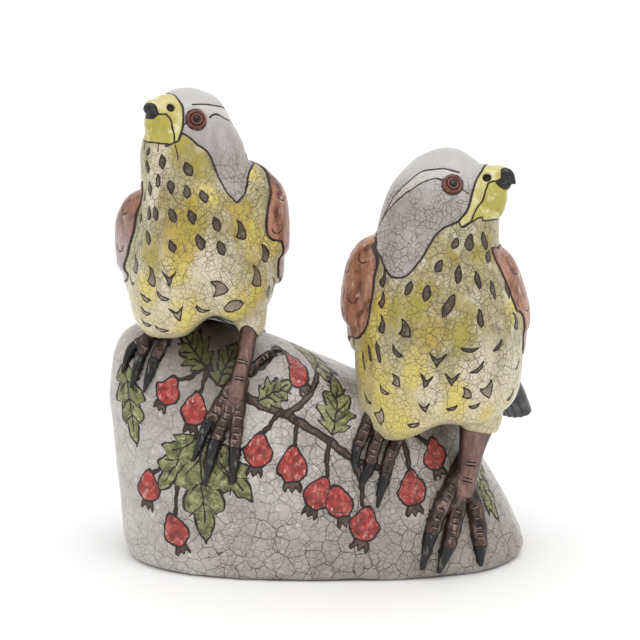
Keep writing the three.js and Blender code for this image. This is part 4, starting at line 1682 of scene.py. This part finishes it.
    def _paint_back(self, canvas: Canvas, surface: Surface) -> None:
        """Chestnut mantle between the wings, with short curved strokes."""
        behind = 180 - np.abs(self._bearings(surface))
        edge = 62 + 5 * ripple(surface.points, 24, 61)
        canvas.fill("mantle", (edge - behind) * 0.6)
        random = np.random.default_rng(71)
        top = self.shape.wings[0].top + 12
        for row, height in enumerate(np.arange(self.shape.wings[0].foot + 4, top, 11.0)):
            for column in range(-2, 3):
                place = 180 + column * 17 + (row % 2) * 8.5 + random.uniform(-3, 3)
                centre, outward = self.shape.spot(height + random.uniform(-1.5, 1.5), place)
                canvas.stroke(small_arc(Patch(surface.points, centre, outward, 0), 4.2))

    def _paint_wing(self, canvas: Canvas, surface: Surface, wing: Wing) -> Array:
        """Wing with short curved strokes above and long lines between the flight feathers below.

        Bearings count as millimetres at the wing's usual radius, so that the outline can be flat.

        Returns:
            How far the painted wing stands above the body round it.
        """
        shake = unsteady(surface.points, 0.4, 10, 37) - surface.points
        bearing = self._bearings(surface) * wing.side
        bearing = np.where(bearing < -90, bearing + 360, bearing)
        flat = np.stack([bearing * WING_SCALE + shake[:, 0], surface.points[:, 2] + shake[:, 2]], -1)
        tip, top = wing.edge[-1][1], wing.edge[0][1]
        rear = ((118, tip - 12), (150, tip - 24), (166, tip - 20))
        rear += ((162, tip + 20), (148, top - 18), (122, top - 2))
        edge = smooth_path(np.array(wing.edge) * (WING_SCALE, 1), 40)
        outline = np.concatenate([edge, np.array(rear) * (WING_SCALE, 1)])
        area, _ = from_outline(flat, outline)
        canvas.fill("wing", area)
        self._feathers(canvas, surface, wing, flat, area)
        return 0.8 * smoothstep(-0.7, 0.9, area)

    def _feathers(self, canvas: Canvas, surface: Surface, wing: Wing, flat: Array, area: Array) -> None:
        """Incises a wing's scallops and the lines between its flight feathers."""
        random = np.random.default_rng(91)
        length = wing.top - wing.foot
        for row, share in enumerate(SCALLOP_ROWS):
            for column in range(4):
                place = 78 + column * 19 + (row % 2) * 9 + random.uniform(-3, 3)
                height = wing.top - length * (share + random.uniform(-0.02, 0.02))
                centre, outward = self.shape.spot(height, self.shape.wing_bearing + wing.side * place)
                middle = centre + outward * 9 * wing.rise
                patch = Patch(surface.points, middle, outward, random.uniform(-35, 35))
                scallop = small_arc(patch, random.uniform(2.6, 4.4))
                canvas.stroke(scallop, 0.1, area > 1.2)
        for feather in WING_LINES:
            target = 60 + feather * 62
            below = wing.top - (0.62 + 0.1 * feather) * length
            canvas.stroke(np.abs(flat[:, 0] - target), where=flat[:, 1] <= below)

    def _paint_breast(self, canvas: Canvas, surface: Surface) -> None:
        """Breast marks, fanning out toward the sides."""
        hand = unsteady(surface.points, 0.4, 6, 31)
        random = np.random.default_rng(9)
        for group in self.shape.breast:
            for bearing, height in group.places:
                centre, outward = self.shape.spot(height, bearing)
                patch = Patch(hand, centre, outward, group.lean + random.uniform(-7, 7))
                size = random.uniform(0.9, 1.1)
                halves = (group.half_width * size, group.half_height * size)
                shape = mark_shape(group.mark, patch.across, patch.up, *halves)
                canvas.fill("mark", shape, patch.depth < MARK_REACH)

    def _paint_face(self, canvas: Canvas, surface: Surface, view: SideView) -> Array:
        """Cap, brow and bill, and the lines between them.

        Returns:
            How deep the nostrils and the mouth are pressed in.
        """
        face = self.shape.face
        top = self.shape.body[-1][0] + 40
        behind, before = face.cap_edge[0], face.bill_base[0]
        over = ((before[0], top), (behind[0] - 30, top), (behind[0] - 30, behind[1]))
        canvas.fill("cap", view.area(face.cap_edge, face.bill_base[::-1], over))
        between = view.area(face.brow_top, face.brow_foot[::-1])
        canvas.share("brow", 0.8 * smoothstep(-0.6, 1.2, between))
        for brow in (face.brow_top, face.brow_foot):
            canvas.stroke(view.line(brow), 0.22)
        canvas.fill("bill", view.area(face.bill_base, face.chin, ((60, top), (before[0], top))))
        canvas.fill("jaw", view.area(face.mouth, face.chin[1:]))
        foot, head = min(z for _, z in face.tip), max(z for _, z in face.tip)
        level = 1.8 * (view.flat[:, 1] - foot) / (head - foot) - 0.9
        width = face.tip_half_width * np.sqrt(np.clip(1 - level * level, 0, 1))
        canvas.fill("tip", np.minimum(view.area(face.tip), width - view.side))
        canvas.stroke(view.line(face.lore), 0.1)
        for tick in face.ticks:
            canvas.stroke(view.line(tick), 0.1)
        for side in (-1, 1):
            centre, _ = self._eye_seat(side)
            around = np.linalg.norm(surface.points - centre, axis=1)
            canvas.stroke(np.abs(around - EYE_RADIUS - 0.5), 0.1)
        forward, sideways, height = face.nostril
        ahead, rise = view.flat.T
        place = np.stack([ahead - forward, view.side - sideways, rise - height])
        hole = np.linalg.norm(place, axis=0)
        canvas.stroke(np.maximum(hole - 2.1, 0), 0.1)
        mouth = view.line(face.mouth[1:])
        return 2.4 * (1 - smoothstep(1.2, 3.2, hole)) + 0.6 * (1 - smoothstep(0, 1.6, mouth))

    # Eyes

    def _eye_seat(self, side: int) -> tuple[Array, Array]:
        """Middle of an eye on the head, and the direction outward there."""
        shape = self.shape
        bearing = shape.head_bearing + side * shape.eye_bearing
        centre = shape.skin(shape.share_of(shape.eye_height), bearing)
        slope = shape.skin(shape.share_of(shape.eye_height + 3), bearing) - centre
        sideways = normalised(np.cross(slope, heading(bearing)))
        return centre, normalised(np.cross(sideways, slope))

    def _eye(self, side: int, hand: str, glaze: Material) -> None:
        """Flat bead with a raised rim, a groove, a ring and a domed pupil, turned about its axis."""
        centre, outward = self._eye_seat(side)
        profile = along(EYE_PROFILE, np.linspace(0, 1, 60))
        right = normalised(np.cross(UP, outward))
        upward = np.cross(outward, right)
        angle = np.linspace(0, 2 * np.pi, 72, endpoint=False)[None, :, None]
        circle = right * np.cos(angle) + upward * np.sin(angle)
        rings = centre + outward * profile[:, 1, None, None] + circle * profile[:, 0, None, None]
        surface = Surface(clay(f"{self.shape.name}_eye_{hand}", [rings]))
        offset = surface.points - centre
        radius = np.linalg.norm(offset - (offset @ outward)[:, None] * outward, axis=1)
        canvas = Canvas(len(radius), ("iris", "pupil"))
        canvas.fill("iris", IRIS_RADIUS - radius)
        canvas.fill("pupil", PUPIL_RADIUS - radius)
        surface.finish(canvas.values(), glaze)

    # Tail

    def _tail(self, glaze: Material) -> None:
        """Tail that narrows and flattens away from the body, with long lines between its feathers."""
        rings = tube(self.shape.tail, UP, 130, 150, cap=3)
        surface = Surface(clay(f"{self.shape.name}_tail", [rings]))
        path = smooth_path(np.array(self.shape.tail)[:, :3])
        _, nearest, share = nearest_on_path(surface.points, path)
        start, end = path[0], path[-1]
        sideways = normalised(np.cross(end - start, UP))
        halves = [row[3] for row in self.shape.tail]
        half_width = np.interp(share, np.linspace(0, 1, len(halves)), halves)
        beside = (surface.points - nearest) @ sideways / half_width
        canvas = Canvas(len(surface.points), ())
        for feather in TAIL_LINES:
            canvas.stroke(np.abs(beside - feather) * half_width, where=share >= 0.3)
        surface.push(canvas.groove(*TAIL_GROOVE))
        surface.finish(canvas.values(), glaze)

    # Feet

    def _feet(self, glaze: Material) -> None:
        """Leg and toes in one skin, with knuckles, wrinkles across them and dark claws."""
        forms = [tube(self.shape.leg, TO_VIEWER, 60, 48, cap=2)]
        for toe, given in zip(self.toes, self.shape.toes):
            path = smooth_path(toe, 60)
            share = np.linspace(0, 1, 60)
            knuckles = 1 + 0.06 * np.cos(share / given.claw * 6 * np.pi) * (share < given.claw)
            claw = 1 - 0.1 * smoothstep(given.claw, given.claw + 0.03, share)
            path[:, 3] *= knuckles * claw
            forms.append(tube(path, TO_VIEWER, 90, 36, cap=1))
        surface = Surface(fused(f"{self.shape.name}_feet", forms, *FEET_SKIN))
        canvas = Canvas(len(surface.points), ("wrinkle_highlight", "claw"), plain=("wrinkle_highlight",))
        self._paint_feet(canvas, surface)
        surface.push(canvas.groove(*FEET_GROOVE))
        surface.finish(canvas.values(), glaze)

    def _paint_feet(self, canvas: Canvas, surface: Surface) -> None:
        """Claws, wrinkles across each toe and the leg with a painted highlight beside, and painted shade
        on the flanks.
        """
        random = np.random.default_rng(53)
        hand = unsteady(surface.points, 0.3, 5, 57)
        paths = self._foot_paths()
        found = [room_to(hand, path) for path in paths]
        room = np.stack([distance for distance, _, _ in found])
        owner = room.argmin(0)
        facing = surface.normals @ TO_VIEWER
        streaks = 0.72 + 0.28 * ripple(surface.points * (1, 1, 0.16), 3.5, 59)
        bare = streaks * (1 - smoothstep(-2, 4, -room[-1]))
        canvas.share("leg", np.where(owner == len(paths) - 1, bare, 0.0))
        # Painted shade: the feet darker where they turn away from the viewer
        canvas.share("flank_shade", 0.9 * (1 - smoothstep(0.4, 0.9, facing)))
        for index, (path, (_, nearest, share)) in enumerate(zip(paths, found)):
            own = owner == index
            length = np.linalg.norm(np.diff(path[:, :3], axis=0), axis=1).sum()
            sideways = normalised(np.cross(path[-1, :3] - path[0, :3], TO_VIEWER))
            beside = np.abs((hand - nearest) @ sideways)
            shown = own & (facing > 0.1)
            end, (gaps, reach, shifts) = 0.9, LEG_WRINKLES
            if index < len(self.shape.toes):
                end, (gaps, reach, shifts) = self.shape.toes[index].claw, TOE_WRINKLES
                canvas.fill("claw", (share - end) * length, own)
            wrinkles = 0.26 + np.cumsum(random.uniform(*gaps, 12)) / length
            for wrinkle in wrinkles[wrinkles < end - 0.05]:
                gap = np.maximum(beside - random.uniform(*reach), 0)
                past = (share - wrinkle) * length
                # Painted highlight: a pale band just past each wrinkle
                canvas.fill("wrinkle_highlight", 0.24 - np.hypot(past - 0.7, gap), shown)
                for shift in shifts:
                    canvas.stroke(np.hypot(past - shift, gap), 0.1, shown)


# Studio


@dataclass(frozen=True)
class Lamp:
    """A soft lamp: its kind, its place in metres, its strength, and its side or spread."""

    name: str
    kind: str
    place: tuple[float, float, float]
    strength: float
    spread: float


@dataclass(frozen=True)
class Studio:
    """Camera at the photograph's angle, soft lamps and a plain pale floor."""

    camera_place: tuple[float, float, float] = (0.0, -1.2716, 0.4118)
    camera_target: tuple[float, float, float] = (0.0, 0.0, 0.1415)
    lens: float = 121.875
    sky_behind: float = 1.0
    sky_before: float = 0.66
    lamps: tuple[Lamp, ...] = (
        Lamp("top_light", "SUN", (0.4, -0.7, 2.4), 0.9, 0.8),
        Lamp("softbox", "AREA", (-0.8, -1.0, 1.4), 2.0, 0.5),
    )

    @staticmethod
    def _aim(thing: Object, place: tuple[float, ...], target: tuple[float, ...]) -> None:
        """Puts a camera or lamp in place, facing its target."""
        thing.location = place
        direction = Vector(target) - Vector(place)
        thing.rotation_euler = direction.to_track_quat("-Z", "Y").to_euler()
        bpy.context.scene.collection.objects.link(thing)

    def set_camera(self) -> None:
        """Makes the camera."""
        camera = bpy.data.objects.new("camera", bpy.data.cameras.new("camera"))
        camera.data.lens = self.lens
        camera.data.sensor_width = 36
        camera.data.clip_end = 100
        self._aim(camera, self.camera_place, self.camera_target)
        bpy.context.scene.camera = camera

    def light(self) -> None:
        """Makes the lamps, the pale surroundings and the floor."""
        for lamp in self.lamps:
            data = bpy.data.lights.new(lamp.name, lamp.kind)
            data.energy = lamp.strength
            setattr(data, "angle" if lamp.kind == "SUN" else "size", lamp.spread)
            self._aim(bpy.data.objects.new(lamp.name, data), lamp.place, self.camera_target)
        scene = bpy.context.scene
        scene.view_settings.view_transform = "Standard"
        scene.world = self._room()
        self._floor()

    def _room(self) -> bpy.types.World:
        """Pale surroundings, brighter behind the object than before it."""
        world = bpy.data.worlds.new("pale_room")
        world.use_nodes = True
        nodes = Nodes(world.node_tree)
        direction = nodes.add("TexCoord").outputs["Generated"]
        away = nodes.add("SeparateXYZ", {0: direction}).outputs["Y"]
        gain = nodes.math("MULTIPLY", nodes.rise(away, -0.95, 0.1), self.sky_behind - self.sky_before)
        strength = nodes.math("ADD", gain, self.sky_before)
        background = nodes.add("Background", {"Color": (1, 1, 1, 1), "Strength": strength})
        nodes.add("OutputWorld", {"Surface": background.outputs[0]})
        return world

    @staticmethod
    def _floor() -> None:
        """Wide pale floor under the object."""
        reach = 12.0
        mesh = bpy.data.meshes.new("floor")
        corners = [(x * reach, y * reach, 0) for x, y in ((-1, -1), (1, -1), (1, 1), (-1, 1))]
        mesh.from_pydata(corners, [], [(0, 1, 2, 3)])
        floor = bpy.data.objects.new("floor", mesh)
        bpy.context.scene.collection.objects.link(floor)
        material = bpy.data.materials.new("pale_floor")
        material.use_nodes = True
        shader = material.node_tree.nodes["Principled BSDF"]
        shader.inputs["Base Color"].default_value = (0.93, 0.93, 0.93, 1)
        shader.inputs["Roughness"].default_value = 0.9
        mesh.materials.append(material)


def main() -> None:
    """Builds the studio, the mound and the two birds."""
    logging.basicConfig(level=logging.INFO, format="%(message)s")
    studio = Studio()
    studio.set_camera()
    studio.light()
    effects = GlazeEffects()
    finishes = (BIRD_GLAZE, EYE_GLAZE, TAIL_GLAZE, FOOT_GLAZE, MOUND_GLAZE)
    glazes = {glaze.name: glaze.build(effects) for glaze in finishes}
    mound = Mound()
    birds = [Bird(shape, mound) for shape in (LEFT_BIRD, RIGHT_BIRD)]
    mound.build(glazes["mound_glaze"], [path for bird in birds for path in bird.toe_paths()])
    for bird in birds:
        bird.build(glazes)


if __name__ == "__main__":
    main()
